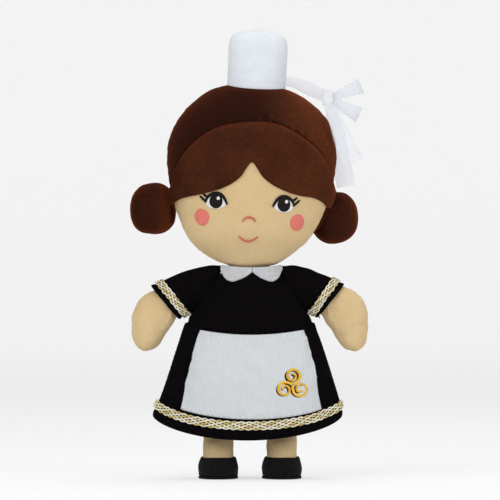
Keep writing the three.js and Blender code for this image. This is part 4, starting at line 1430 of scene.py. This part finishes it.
@dataclass
class Bow(Assembly):
    """The sheer ribbon: a band from the cap, a knot beside the crown, two loops and two hanging ends."""

    knot: Triple = (43.5, -3.0, 104.0)
    knot_half: Triple = (4.4, 4.8, 5.4)
    width: float = 11.0
    thickness: float = 0.3
    loop_rise: Pair = (24.0, -25.0)
    loop: tuple[Pair, ...] = ((3, -3.6), (9, -7), (17, -6.5), (21, -2.5), (16, 0.5), (8, 0.5), (3, -1.6))
    band: tuple[Triple, ...] = ((16.5, 1, 113.3), (24, 1.5, 112.2), (32.4, 1, 109.2), (40.5, -1.5, 106))
    front: tuple[Triple, ...] = ((44.3, -7.6, 100.6), (49, -11.5, 90), (54.5, -13.5, 77), (60, -13, 66))
    rear: tuple[Triple, ...] = ((44.5, 3.6, 99.6), (50, 8, 84), (54, 9.5, 66), (57, 9.5, 52))

    def strip(
        self, knots: Sequence[Triple], widths: Sequence[float], start: Triple, end: Triple, cup: float = 0.5,
        ripple: float = 0.4, length: int = 90,
    ) -> Array:
        """The middle surface of a ribbon along a curve.

        Args:
            knots: Places that it runs through.
            widths: Its widths from start to end.
            start: Direction of its width at the start.
            end: Direction of its width at the end.
            cup: How far its middle stands out from its borders.
            ripple: How far its borders wave.
            length: Columns along it.

        Returns:
            Rows across by columns along.
        """
        u = np.linspace(0, 1, length)
        line = catmull(np.array(knots), u)
        along = unit(np.gradient(line, axis=0))
        across = np.array(start) * (1 - u[:, None]) + np.array(end) * u[:, None]
        across = unit(across - along * (across * along).sum(-1, keepdims=True))
        wide = np.interp(u, np.linspace(0, 1, len(widths)), widths) / 2
        up = np.cross(along, across)
        v = np.linspace(-1, 1, 17)[:, None]
        wave = cup * (1 - v**2) + ripple * v * np.sin(u * 9 + v * 1.4) * np.sin(np.pi * u) ** 0.5
        return line + across * (wide * v)[..., None] + up * wave[..., None]

    def ribbon(self, name: str, points: Array, body: str, held: Held) -> None:
        """Makes a ribbon from its middle surface, with a thicker woven edge."""
        thick = self.thickness * (1 + 1.2 * near(to_edge(points, "tb"), 0.5))
        piece = self.shop.place(ribbon_mesh(name, points, thick), ORGANZA, body, (name,))
        self.shop.sheet(piece, points, held, ["sewn_cap"])

    def build(self) -> None:
        """Makes the five parts of the ribbon and its knot."""
        kx, _, kz = self.knot
        band = self.strip(self.band, (5, 6.5, 8.4, 7.5), (0, -0.3, 1), (0, -0.3, 1), 0.3, 0.2)
        self.ribbon("ribbon_band", band, "head", Held.SEWN_ROUND)
        for name, rise in zip(("ribbon_loop_upper", "ribbon_loop_lower"), self.loop_rise):
            c, s = math.cos(math.radians(rise)), math.sin(math.radians(rise))
            knots = [(kx + c * out, y, kz + s * out) for out, y in self.loop]
            widths = (3.0, 6.8, self.width - 1.2, 6.8, 3.0)
            loop = self.strip(knots, widths, (-s, 0, c), (-s, 0, c), 0.2, 0.5, 120)
            self.ribbon(name, loop, "head", Held.FOLDED)
        front = self.strip(self.front, (6, 9, 12, self.width * 1.25), (1, 0.4, 0.3), (1, 0.3, 0.45))
        self.ribbon("ribbon_tail_front", front, "ribbon_tail_front", Held.HANGING)
        rear = self.strip(self.rear, (6, 9, self.width, self.width), (1, 0.2, 0.2), (1, 0.2, 0.1))
        self.ribbon("ribbon_tail_rear", rear, "ribbon_tail_rear", Held.HANGING)
        self.tie()

    def tie(self) -> None:
        """Makes the knot: a pinched ball whose folds run round it."""
        along, turn = np.linspace(0, np.pi, 40)[:, None], np.linspace(0, 2 * np.pi, 73)
        fold = 1 + 0.05 * np.cos(6 * turn + 2.5 * along) - 0.12 * near(along - np.pi / 2, 0.5)
        half = self.knot_half
        points = np.stack([
            half[0] * np.sin(along) * np.cos(turn) * fold,
            half[1] * np.sin(along) * np.sin(turn) * fold,
            half[2] * np.cos(along) + 0 * turn,
        ], -1) + np.array(self.knot)
        self.shop.stuffed("ribbon_knot", lean(points), ORGANZA, "head", fill=0.6)


def rolled(ring: Array, back: Array) -> Array:
    """The rolled seam that a limb hinges on: the front and back of its first ring come together behind it.

    Args:
        ring: The first ring of the limb, around y = 0.
        back: Unit direction that points away from the limb.

    Returns:
        Rows from the seam to the ring, without the ring itself.
    """
    angle = np.linspace(np.pi / 2, 0, 7, endpoint=False)[:, None]
    depth = ring[:, 1]
    rows = ring + np.abs(depth)[:, None] * np.sin(angle)[..., None] * back
    rows[..., 1] = depth * np.cos(angle)
    return rows


def clear_of_roll(points: Array, ends: Array, radius: float, way: Array) -> Array:
    """Presses a groove for a rolled seam into a surface: what lies within the roll moves out to its radius.

    Args:
        points: Places of the surface.
        ends: Both ends of the roll's axis.
        radius: Radius of the groove.
        way: Where places on the axis itself move to.

    Returns:
        The moved places.
    """
    start, along = ends[0], ends[1] - ends[0]
    share = np.clip(((points - start) @ along) / (along @ along), 0, 1)
    nearest = start + share[..., None] * along
    away = points - nearest
    distance = np.linalg.norm(away, axis=-1, keepdims=True)
    moved = nearest + unit(away + way * np.maximum(radius - distance, 0) * 2) * radius
    return np.where(distance < radius, moved, points)


@dataclass
class Braid(Assembly):
    """A flat woven braid round a form: strands that cross from side to side, over and under each other.

    A strand's place across is a triangle wave of its place along, and its height is a cosine with one swell
    for every two crossings, which changes sign with the strand's direction.
    """

    name: str
    body: str
    width: float = 6.2
    strands: int = 6
    gold: tuple[int, ...] = (1, 5)
    pitch: float = 26.0
    strand_width: float = 0.86
    strand_thickness: float = 0.56
    rise: float = 0.3
    step: float = 0.6

    def weave(self, phase: Array) -> tuple[Array, Array]:
        """Place across, from -1 to 1, and height of a strand."""
        across = 2 / np.pi * np.arcsin(0.985 * np.cos(2 * np.pi * phase))
        way = np.clip(4 * np.sin(2 * np.pi * phase), -1, 1)
        return across, self.rise * np.cos(2 * np.pi * self.strands * phase) * way

    def build(self, base: Array, across: Array, up: Array) -> None:
        """Makes the braid's cream and gold strands.

        Args:
            base: A closed line of places round the form, the last like the first.
            across: Unit directions across the braid.
            up: Unit directions away from the cloth.
        """
        place = run(base[None], 1)[0]
        length = float(place[-1])
        along = np.linspace(0, length, int(length / self.step))
        line, wide, lift = (between(along, place, rows) for rows in (base, across, up))
        repeats, reach = max(round(length / self.pitch), 1), (self.width - self.strand_width) / 2
        strands: dict[str, list[Patch]] = {"cream": [], "gold": []}
        for number in range(self.strands):
            side, height = self.weave(repeats * along / length + number / self.strands)
            rise = CLEAR + self.strand_thickness / 2 + self.rise + height
            path = line + wide * (side * reach)[:, None] + lift * rise[:, None]
            patch = tube(path, lift, self.strand_width, self.strand_thickness)
            strands["gold" if number in self.gold else "cream"].append(patch)
        for label, finish in (("cream", CREAM_BRAID), ("gold", GOLD_BRAID)):
            stands_for = (self.name,) if label == "cream" else ()
            self.shop.place(mesh_object(f"{self.name}_{label}", strands[label]), finish, self.body, stands_for)


@dataclass
class Body(Assembly):
    """The stuffed dress: bodice and skirt, front and back, with the grooves that the limbs are sewn into."""

    neck_half: float = 17.3
    hem_half: float = 56.3
    hem_depth: float = 24.0
    waist: float = 94.5
    seam_depth: float = 0.8
    seam_width: float = 1.3
    groove: float = 3.85
    shoulder: tuple[Pair, Pair] = ((16.0, 130.3), (36.5, 96.5))
    hip: tuple[Pair, Pair] = ((9.0, 29.0), (29.0, 29.0))
    braid_height: float = 44.8

    def __post_init__(self) -> None:
        """Works out the body's form from its sizes."""
        hem, deep = self.hem_half, self.hem_depth
        self.stuffing = Stuffing(StuffedForm([
            even(35, hem - 5.3, deep - 7, 11.1, 0, -1.4),
            even(36.4, hem - 0.4, deep - 2, 13, 0, -1.6),
            even(40, hem + 0.9, deep, 13, 0, -1.3),
            even(49, hem - 2.4, deep + 1, 11.5, 0, -0.3),
            even(62, hem - 6.7, deep + 1.5, 9),
            even(77, hem - 11.5, deep + 1, 8.5),
            even(88.5, hem - 15.5, deep - 2, 8),
            even(97, hem - 18.9, deep - 4.5, 7.5),
            even(108, 29.4, 16, 3),
            even(118, 23.29, 12.5, 0.8),
            even(123.8, self.neck_half + 0.3, 9.2),
        ], bend=1.4), ends=(1.0, 0.3), rows=100, columns=193)
        form = self.stuffing.form
        self.waist_t = float(form.height_to_t(np.array(self.waist)))
        waist, low = self.waist_t, float(form.height_to_t(np.array(36.4)))

        def held(t: Array, turn: Array) -> Array:
            """How firmly each place is sewn: side seams, waist, neck and the closed hem."""
            side = near(np.abs(np.sin(turn)), 0.22)
            level = np.maximum(near(t - waist, 0.03), near(t - 1, 0.08))
            return np.maximum(np.maximum(side, level), near(np.maximum(t - low, 0), 0.05))

        self.stuffing.fill(held, pressure=2.0, most=1.6)

    def front(self, x: Array, z: Array) -> Array:
        """The surface that shows at x and z."""
        return self.stuffing.at(*self.stuffing.form.facing(x, z))

    def build(self) -> None:
        """Makes the four panels of the dress."""
        waist = self.waist_t
        skirt = rounded_rows(waist * np.linspace(0, 1, 80), start=0.4, steps=14)
        bodice = rounded_rows(waist + (1 - waist) * np.linspace(0, 1, 50), end=0.3)
        for name, rows, row_side in (("skirt", skirt, "b"), ("bodice", bodice, "t")):
            for face, start, end in (("front", -np.pi, 0.0), ("back", 0.0, np.pi)):
                t, shrink, lift = rows
                points = self.stuffing.at(t, np.linspace(start, end, 161), shrink, lift)
                sides = to_edge(points, "lr") + FAR * (shrink < 1)
                waistline = to_edge(points, row_side)
                out = outward(points)
                depth = self.seam_depth * np.maximum(near(waistline, self.seam_width), near(sides, self.seam_width))
                wrinkle = 0.3 * near(waistline - 5, 6) * wander(points * [1, 1, 0.25], 7, seed=41)
                points = points - out * (depth + wrinkle * (shrink == 1))[..., None]
                self.panel(f"{name}_{face}", points)

    def panel(self, name: str, points: Array) -> None:
        """Presses the limbs' grooves into a panel, and makes it.

        Args:
            name: Name of the panel.
            points: Its places before.
        """
        for side in Side:
            s = side.value
            for line, way in ((self.shoulder, (-0.85, -0.5)), (self.hip, (0, 1.0))):
                ends = np.array([[s * x, 0, z] for x, z in line])
                points = clear_of_roll(points, ends, self.groove, np.array([s * way[0], 0, way[1]]))
        piece = mesh_object(name, [Patch.of(points)], inside=np.array([0, 0, 80.0]))
        thicken(piece, 1.0)
        stands_for = (name, "body_stuffing") if name == "bodice_front" else (name,)
        self.shop.place(piece, BLACK, "torso", stands_for)

    def hem_braid(self) -> None:
        """Sews the wide braid round the hem of the skirt."""
        turn = np.linspace(-np.pi, np.pi, 401)
        t = float(self.stuffing.form.height_to_t(np.array(self.braid_height)))
        rows = np.array([t - 0.012, t, t + 0.012])[:, None]
        points = self.stuffing.at(rows, turn)
        out = outward(points, True)[1]
        across = unit(points[2] - points[0])
        Braid(self.shop, "hem_braid", "torso").build(points[1], across, out)


@dataclass
class Collar(Assembly):
    """The collar: two rounded lobes of felt that meet under the chin."""

    top: float = 126.6
    rise: float = 1.3
    drop: float = 117.8
    reach: float = 17.7
    thickness: float = 1.3
    x: float = 1.4
    middle: float = 0.85
    edge: tuple[Pair, ...] = ((0.02, 5.6), (2.2, 3.9), (5.6, 1.9), (11.6, 0), (16.1, 2.2), (17.7, 6.8))

    def __post_init__(self) -> None:
        """Works out the surface that the collar lies on, which goes straight up from the neckline."""
        self.form = StuffedForm([
            even(108, 29.8, 16, 3, 0, self.middle),
            even(118, 24.2, 12.6, 0.8, 0, self.middle),
            even(124.3, self.reach + 1, 9.3, 0, 0, self.middle),
            even(self.top + self.rise + 2, self.reach + 1, 9.3, 0, 0, self.middle),
        ])

    def build(self) -> None:
        """Makes both lobes, which meet a little beside the middle; their upper edge rises outwards with the square."""
        for side in Side:
            s = side.value
            share = np.linspace(0, 1, 81)
            edge = catmull(np.array(self.edge) + [0, self.drop], share)
            above = np.stack([0.02 + (self.reach - 0.02) * share, self.top + self.rise * share**2], -1)
            line = above + (edge - above) * eased(30)[:, None, None]
            across = line[..., 0] * (1 + s * (self.middle - self.x) / self.reach)
            points = self.form.front(s * across + self.x, line[..., 1])
            out = outward(points, facing=(0, -1, 0))
            soft = 0.25 * wander(points, 7, seed=51 + s)
            border = np.minimum(to_edge(points, "rtb"), to_edge(points, "l") * 12)
            thick = edge_round(border, self.thickness, 1.0) + soft * np.minimum(border / 2, 1)
            inner = points + out * CLEAR * 2
            outer = inner + out * thick[..., None]
            piece = self.shop.sewn(f"collar_{side.label}", layer(outer, inner), WHITE_FELT, "torso")
            self.shop.sheet(piece, outer, Held.SEWN_ROUND, ["sewn_bodice_front"])


@dataclass
class Apron(Assembly):
    """The felt apron on the skirt, with its stitches and the triple spiral embroidered on it."""

    top_half: float = 30.6
    top: float = 89.0
    bottom_half: float = 42.2
    bottom: float = 49.3
    x: float = 1.0
    hem_half: float = 56.3
    sag: float = 13.0
    thickness: float = 1.2
    inset: float = 1.5
    stitch_step: float = 3.4
    spiral_x: float = 24.6
    spiral_z: float = 56.5
    reach: float = 5.15
    coil: float = 4.3
    band: float = 1.6
    shade_shift: Pair = (-0.85, -0.5)

    def outline(self, c: Array, s: Array) -> tuple[Array, Array]:
        """Places x and z on the apron.

        Args:
            c: Across it, from 0 to 1.
            s: Down it, from 0 to 1.

        Returns:
            x and z.
        """
        foot = self.bottom_half * (2 * c - 1)
        low = self.bottom - self.sag * (1 - (foot / self.hem_half) ** 2) ** 0.7
        high = self.top - 2.8 * (1 - (2 * c - 1) ** 2)
        halves = np.array([
            [-self.top_half, -self.top_half - 4.4, -self.bottom_half + 2.7, -self.bottom_half],
            [self.top_half, self.top_half + 5.2, self.bottom_half - 3.3, self.bottom_half],
        ])
        left, right = np.moveaxis(catmull(halves.T, s), -1, 0)
        return self.x + left + (right - left) * c, high + (low - high) * s

    def build(self, body: Body) -> None:
        """Makes the felt, its stitches and the embroidery.

        Args:
            body: The skirt under it.
        """
        c, s = eased(180) * 0.35 + np.linspace(0, 1, 180) * 0.65, eased(110)[:, None]
        points = body.front(*self.outline(c, s))
        out = outward(points, facing=(0, -1, 0))
        border = to_edge(points)
        thick = edge_round(border, self.thickness, 1.0)
        puckers = self.puckers(points, border)
        ease = np.minimum(border / 3, 1)
        soft = (0.14 * wander(points, 13, seed=61) + 0.5 * puckers) * ease
        inner = points + out * CLEAR
        outer = inner + out * (thick + soft)[..., None]
        piece = self.shop.sewn("apron", layer(outer, inner), APRON_FELT, "torso")
        self.shop.sheet(piece, outer, Held.SEWN_ROUND, ["sewn_skirt_front"])
        self.stitches(outer, out)
        self.triple_spiral(body)

    def puckers(self, points: Array, border: Array) -> Array:
        """Small dimples where each stitch of the border pulls the felt down, minus one at each stitch.

        Args:
            points: The felt.
            border: Distance to its border.

        Returns:
            A height for each place.
        """
        across, down = run(points, 1), run(points, 0)
        left, right = to_edge(points, "l"), to_edge(points, "r")
        along = np.where(np.minimum(left, right) < to_edge(points, "tb"), down, across)
        beat = np.cos(2 * np.pi * along / self.stitch_step) * 0.5 - 0.5
        return -near(border - self.inset, 0.8) * (1 + beat) + 0.5 * near(border - self.inset - 1.8, 1.2) * (beat + 0.5)

    def stitches(self, outer: Array, out: Array) -> None:
        """Makes the small running stitches round the border, each a short rounded thread.

        Args:
            outer: The felt's face.
            out: Its normals.
        """
        loops = []
        height, width = outer.shape[:2]
        across, down = run(outer, 1), run(outer, 0)
        for edge in ("left", "bottom", "right"):
            if edge == "bottom":
                rows = np.full(width, int(np.abs(down[-1, width // 2] - down[:, width // 2] - self.inset).argmin()))
                columns = np.arange(width)
            else:
                rows = np.arange(height)
                gap = across if edge == "left" else across[:, -1:] - across
                columns = np.abs(gap - self.inset).argmin(1)
            line, up = outer[rows, columns], out[rows, columns]
            length = run(line[None], 1)[0]
            for start in np.arange(2.4, length[-1] - 3, self.stitch_step):
                place = start + np.linspace(-0.75, 0.75, 7)
                path, lift = between(place, length, line), between(place, length, up)
                hump = 0.16 - 0.3 * np.abs(np.linspace(-1, 1, 7)) ** 3
                loops.append(tube(path + lift * hump[:, None], lift, 0.42, 0.34))
        self.shop.sewn("apron_stitches", loops, SEWING_THREAD, "torso", own=False)

    def spiral(self, turn: float, u: Array) -> Array:
        """One arm of the triple spiral: from the middle to a coil whose radius shrinks as it turns inwards.

        Args:
            turn: Direction of the coil's middle in degrees.
            u: Where on the arm, from 0 to 1.

        Returns:
            Places x and z.
        """
        steps = np.linspace(0, 1, 17)
        angle = np.radians(turn - 150 + 520 * steps)
        radius = self.coil * (1 - 0.8 * steps**1.35)
        way = math.radians(turn)
        x = self.spiral_x + self.reach * math.cos(way) + radius * np.cos(angle)
        z = self.spiral_z + self.reach * math.sin(way) + radius * np.sin(angle)
        knots = np.vstack([[self.spiral_x, self.spiral_z], np.stack([x, z], -1)])
        return catmull(knots, u)

    def triple_spiral(self, body: Body) -> None:
        """Makes the gold coils and the black stitching that shades them from below and left.

        Args:
            body: The skirt under it.
        """
        over = CLEAR + self.thickness
        gold, dark = [], []
        u = np.linspace(0, 1, 110)[:, None]
        ends = blunt(u, 30)
        wide = self.band / 2 * (0.35 + 0.65 * ends) * (1 - 0.2 * u)
        for turn in (90, 210, 330):
            line = self.spiral(turn, u[:, 0])
            dark += layer(*satin(body.front, line + self.shade_shift, wide, 0.35 * ends, over - 0.15, 11))
            gold += layer(*satin(body.front, line, wide, 0.75 * ends, over - 0.05, 11))
        self.shop.sewn("apron_triple_spiral_shade", dark, BLACK_THREAD, "torso", own=False)
        self.shop.sewn("apron_triple_spiral", gold, GOLD_THREAD, "torso")


@dataclass
class Arm(Assembly):
    """An arm: a stuffed sleeve with its braided cuff, and the hand that comes out of it."""

    side: Side
    cuff_top: Pair = (58.6, 115.4)
    cuff_bottom: Pair = (42.0, 95.4)
    cuff_depth: float = 11.5
    hand_depth: float = 9.5
    tip: float = 0.4
    roll: float = 3.5
    wall: float = 1.4
    braid_inset: float = 5.0
    fuller: float = 0.0
    seam_side: Pair = (-0.855, -0.519)

    def at(self, top: Pair, bottom: Pair, depth: float) -> Section:
        """A section of the arm, from its lower to its upper edge."""
        s = self.side.value
        return Section((s * bottom[0], bottom[1]), (s * top[0], top[1]), depth)

    def build(self) -> None:
        """Makes the sleeve, its braid and the hand."""
        self.sleeve()
        self.hand()

    def sleeve(self) -> None:
        """Makes the sleeve from its rolled seam to the turned-in cuff, and the braid round the cuff."""
        label, body = self.side.label, f"arm_{self.side.label}"
        form = StuffedForm([
            self.at((17.5, 127.5), (35.1, 98.9), self.roll),
            self.at((31, 126.7), (37.0, 98.4), self.roll + 2),
            self.at((45, 121.8), (39.6, 96.6), self.cuff_depth - 2.8),
            self.at(self.cuff_top, self.cuff_bottom, self.cuff_depth),
        ], edge=1.0)
        t, turn = np.linspace(0, 1, 60)[:, None], np.linspace(-np.pi, np.pi, 129)
        points = form.point(t, turn)
        out = outward(points, True)
        ease = np.minimum(run(points, 0) / 6, 1)
        folds = 0.3 * wander(points * [1, 0.6, 1], 13, seed=71 + self.side.value) * ease
        edge = 0.35 * near(to_edge(points, "b"), 1.6) - 0.3 * near(to_edge(points, "b") - 1.9, 0.7)
        points = swelled(points, folds + edge)
        back = np.array([self.side.value * self.seam_side[0], 0, self.seam_side[1]])
        grid = np.concatenate([rolled(points[0], back), points])
        self.shop.stuffed(f"sleeve_{label}", hemmed(grid, self.wall, 26), BLACK, body, fill=0.6)
        inwards, column = to_edge(points, "b"), np.arange(points.shape[1])
        row = (inwards > self.braid_inset).sum(0)
        before, after = inwards[row - 1, column], inwards[row, column]
        share = ((before - self.braid_inset) / (before - after))[:, None]
        line = points[row - 1, column] * (1 - share) + points[row, column] * share
        across = unit(points[row, column] - points[row - 1, column])
        Braid(self.shop, f"sleeve_braid_{label}", body).build(line, across, out[row, column])

    def hand(self) -> None:
        """Makes the stuffed hand, a rounded paddle with a seam along its edge."""
        label, deep, more = self.side.label, self.hand_depth, self.fuller
        form = StuffedForm([
            self.at((31, 119), (36.8, 101.5), 3.4),
            self.at((44, 116), (39.8, 99.2), 6.6),
            self.at((57, 113.0 + more), (43.2, 97.2), deep - 0.5),
            self.at((66.2, 107.6 + more), (46.2, 92.2), deep),
            self.at((70.2 + more / 4, 99.6 + more / 3), (49.2, 88.2), deep),
            self.at((71.2, 91.6), (50.3, 86.5), deep - 0.5),
            self.at((70.7, 85.6), (52.0, 83.3), deep - 1.1),
            self.at((69.4, 81.0), (54.4, 80.0), deep - 2.2),
            self.at((67.6, 78.0), (57.4, 77.5), deep - 4),
            self.at((65.2, 76.5), (60.8, 76.3), 3),
        ], edge=1.1)
        stuffing = Stuffing(form, ends=(1.0, self.tip))
        stuffing.fill(lambda t, turn: np.maximum(near(np.sin(turn), 0.3), near(1 - t, 0.3)) + (t < 0.2),
                      pressure=2.0, most=0.5)
        t, shrink, lift = rounded_rows(np.linspace(0, 1, 110), start=1.0, end=self.tip)
        turn = np.linspace(-np.pi, np.pi, 161)
        points = stuffing.at(t, turn, shrink, lift)
        reach = np.minimum(np.abs(turn), np.pi - np.abs(turn)) * form.rows_at(t[:, 0])[:, 4:5]
        soft = 0.2 * wander(points, 10, seed=81 + self.side.value)
        points = swelled(points, soft - 0.45 * near(reach, 1.1) * shrink)
        self.shop.stuffed(f"arm_{label}", points, SKIN, f"arm_{label}", (f"arm_stuffing_{label}",))


@dataclass
class Leg(Assembly):
    """A leg: stuffed and short, sewn in at the hip, with a soft slipper and its sole."""

    side: Side
    x: float = 19.0
    hip: float = 29.0
    half: float = 9.0
    roll: float = 3.5
    sole_thickness: float = 1.6
    slipper_top: float = 12.5
    wall: float = 1.4

    def build(self) -> None:
        """Makes the leg, the slipper and the sole."""
        x, label = self.x * self.side.value, self.side.label
        turn = np.linspace(-np.pi, np.pi, 129)
        form = StuffedForm([
            even(1.9, self.half, 12.8, 0, -4.4, x),
            even(5.5, self.half + 0.4, 13.2, 0, -4.2, x),
            even(9, self.half + 0.2, 9.4, 0, -1.8, x),
            even(self.hip - 9, self.half, 7.4, 0, 0, x),
            even(self.hip - 4.5, self.half, 4.2, 0, 0, x),
            even(self.hip, self.half, self.roll, 0, 0, x),
        ], edge=1.0)
        t, shrink, lift = rounded_rows(np.linspace(0, 1, 60), start=0.6)
        points = form.point(t, turn, shrink, lift)
        grid = np.concatenate([points, rolled(points[-1], np.array([0, 0, 1.0]))[::-1]])
        ease = np.minimum(to_edge(grid, "b") / 8, 1) * np.pad(shrink, ((0, len(grid) - len(shrink)), (0, 0)))
        grid = swelled(grid, 0.2 * wander(grid, 9, seed=91) * ease)
        self.shop.stuffed(f"leg_{label}", grid, SKIN, f"leg_{label}", (f"leg_stuffing_{label}",))
        self.slipper(x, turn, label)
        self.sole(x, label)

    def slipper(self, x: float, turn: Array, label: str) -> None:
        """Makes the slipper: felt round the foot, turned in at its opening.

        Args:
            x: Middle of the leg.
            turn: Where its columns are.
            label: Name of the side.
        """
        form = StuffedForm([
            even(self.sole_thickness + 0.3, 11.6, 15.6, 0, -5, x),
            even(6.5, 12, 16, 0, -5, x),
            even(self.slipper_top - 2.2, 11.3, 12.4, 0, -2.4, x),
            even(self.slipper_top, 10.5, 10.2, 0, -0.6, x),
        ], edge=1.0)
        t, shrink, lift = rounded_rows(np.linspace(0, 1, 40), start=0.2)
        points = form.point(t, turn, shrink, lift)
        shape = hemmed(swelled(points, 0.12 * wander(points, 8, seed=95) * shrink), self.wall, 16)
        self.shop.sewn(f"slipper_{label}", [Patch.of(shape)], SLIPPER_FELT, f"leg_{label}")

    def sole(self, x: float, label: str) -> None:
        """Makes the sole, a felt oval with a rounded border.

        Args:
            x: Middle of the leg.
            label: Name of the side.
        """
        angle, turn = np.linspace(-np.pi / 2, np.pi / 2, 9)[:, None], np.linspace(0, 2 * np.pi, 97)
        half = self.sole_thickness / 2
        inset = np.concatenate([np.linspace(9, 1, 8), 1 - np.cos(angle[:, 0]), np.linspace(1, 9, 8)])[:, None] * half
        z = half + np.concatenate([np.full(8, -half), half * np.sin(angle[:, 0]), np.full(8, half)])[:, None]
        share = np.clip(1 - inset / 12, 0, 1)
        points = np.stack([x + 12 * share * np.cos(turn), -5 + 16 * share * np.sin(turn), z + 0 * turn], -1)
        poles = [np.broadcast_to([x, -5, level], points[:1].shape) for level in (0.0, self.sole_thickness)]
        grid = np.concatenate([poles[0], points, poles[1]])
        self.shop.sewn(f"sole_{label}", [Patch.of(grid)], SLIPPER_FELT, f"leg_{label}")


def neck(shop: Workshop, radius: float = 6.0) -> None:
    """Makes the stuffed neck inside the head and body, a ball with gathered poles.

    Args:
        shop: Where the piece is finished.
        radius: Radius of the ball.
    """
    along, turn = np.linspace(0, np.pi, 33)[:, None], np.linspace(0, 2 * np.pi, 49)
    size = radius * (1 - 0.02 * near(np.sin(along), 0.4) * (1 + np.cos(9 * turn)))
    ball = np.stack([np.sin(along) * np.cos(turn), np.sin(along) * np.sin(turn), np.cos(along) + 0 * turn], -1)
    shop.stuffed("neck", ball * size[..., None] + NECK, SKIN, "neck")


# Studio


@dataclass
class Studio:
    """The plain pale floor, the soft lights and the camera."""

    distance: float = 3.0
    height: float = 0.1368
    lens: float = 360.0
    lamp_size: float = 1.2
    flat: float = 3500.0
    curve: float = 600.0
    wall: float = 2600.0
    glow: float = 0.6
    glow_per_metre: float = 0.055
    glow_more: float = 0.22

    def lamp(self, name: str, place: Triple, power: float) -> None:
        """Adds a square soft light that looks at the middle of the doll.

        Args:
            name: Its name.
            place: Where it is, in metres.
            power: Watts.
        """
        light = bpy.data.lights.new(name, "AREA")
        light.energy, light.size = power, self.lamp_size
        made = bpy.data.objects.new(name, light)
        bpy.context.scene.collection.objects.link(made)
        made.location = place
        look = np.array([0, 0, self.height]) - place
        yaw, pitch = math.atan2(-look[0], look[1]), math.atan2(look[2], math.hypot(look[0], look[1]))
        made.rotation_euler = (math.pi / 2 + pitch, 0, yaw)

    def floor(self) -> None:
        """Makes the round floor, which curves up to a wall all round, farther away than the camera."""
        angle, turn = np.linspace(0, np.pi / 2, 24), np.linspace(0, 2 * np.pi, 97)
        flat, curve = self.flat, self.curve
        radius = np.concatenate([[0, 1200], flat + curve * np.sin(angle), [flat + curve]])[:, None]
        z = np.concatenate([[0, 0], curve - curve * np.cos(angle), [self.wall]]) - 0.2
        points = np.stack(np.broadcast_arrays(radius * np.cos(turn), radius * np.sin(turn), z[:, None]), -1)
        piece = mesh_object("floor", [Patch.of(points)], inside=np.array([0, 0, -20000.0]))
        made, wiring, shader = new_material("pale floor")
        shader.inputs["Roughness"].default_value = 0.9
        place = wiring.add("ShaderNodeTexCoord").outputs["Object"]
        grain = wiring.add("ShaderNodeTexNoise", {"Vector": place, "Scale": 9.0, "Detail": 3.0}).outputs[0]
        color = wiring.mix(grain, linear((243, 243, 244)), linear((249, 249, 250)))
        wiring.feed(shader.inputs, {"Base Color": color})
        bright = wiring.add("ShaderNodeEmission", {"Color": (1, 1, 1, 1), "Strength": 1.0}).outputs[0]
        path = wiring.add("ShaderNodeLightPath").outputs
        mirrored = wiring.math("MAXIMUM", path["Is Glossy Ray"], path["Is Transmission Ray"])
        away = wiring.add("ShaderNodeVectorMath", {0: place}, operation="LENGTH").outputs["Value"]
        more = wiring.math("MINIMUM", wiring.math("MULTIPLY", away, self.glow_per_metre), self.glow_more)
        level = wiring.math("ADD", more, self.glow)
        share = wiring.math("MULTIPLY", wiring.math("MAXIMUM", path["Is Camera Ray"], mirrored), level)
        both = wiring.add("ShaderNodeMixShader", {0: share, 1: shader.outputs[0], 2: bright}).outputs[0]
        output = next(n for n in wiring.tree.nodes if n.type == "OUTPUT_MATERIAL")
        wiring.feed(output.inputs, {"Surface": both})
        piece.data.materials.append(made)

    def camera(self) -> None:
        """Puts the camera level in front of the doll."""
        data = bpy.data.cameras.new("camera")
        data.lens, data.sensor_width = self.lens, 36.0
        made = bpy.data.objects.new("camera", data)
        bpy.context.scene.collection.objects.link(made)
        made.location = (0, -self.distance, self.height)
        made.rotation_euler = (math.pi / 2, 0, 0)
        bpy.context.scene.camera = made

    def world(self) -> None:
        """Sets an even pale surrounding."""
        scene = bpy.context.scene
        made = bpy.data.worlds.new("studio")
        made.use_nodes = True
        back = made.node_tree.nodes["Background"]
        back.inputs["Color"].default_value = (1, 1, 1, 1)
        back.inputs["Strength"].default_value = 0.36
        scene.world = made
        scene.view_settings.view_transform = "Standard"

    def build(self) -> None:
        """Sets the stage."""
        self.floor()
        self.world()
        self.lamp("key", (-0.7, -1.2, 1.0), 13.2)
        self.lamp("fill", (1.1, -1.0, 0.6), 7)
        self.lamp("top", (0.2, 0.3, 1.5), 9.5)
        self.camera()


def main() -> None:
    """Builds the doll and its stage."""
    logging.basicConfig(level=logging.INFO, format="%(name)s: %(message)s")
    shop = Workshop()
    Studio().build()
    neck(shop)
    head, body = Head(shop), Body(shop)
    head.build()
    Face(shop, head).build()
    Cap(shop, head).build()
    Bun(shop, Side.LEFT, -57.2, -5.0, 32.7, 14.0, -46.5, tuck=12.0).build(head)
    Bun(shop, Side.RIGHT, 50.0, 12.0, 33.2, 14.9, 45.0).build(head)
    Bow(shop).build()
    body.build()
    Collar(shop).build()
    Apron(shop).build(body)
    body.hem_braid()
    Arm(shop, Side.LEFT).build()
    Arm(shop, Side.RIGHT, cuff_top=(55.9, 116.6), cuff_bottom=(40.5, 96.9), fuller=1.8).build()
    for side in Side:
        Leg(shop, side).build()
    LOG.info("%d pieces", len(shop.made))


if __name__ == "__main__":
    main()
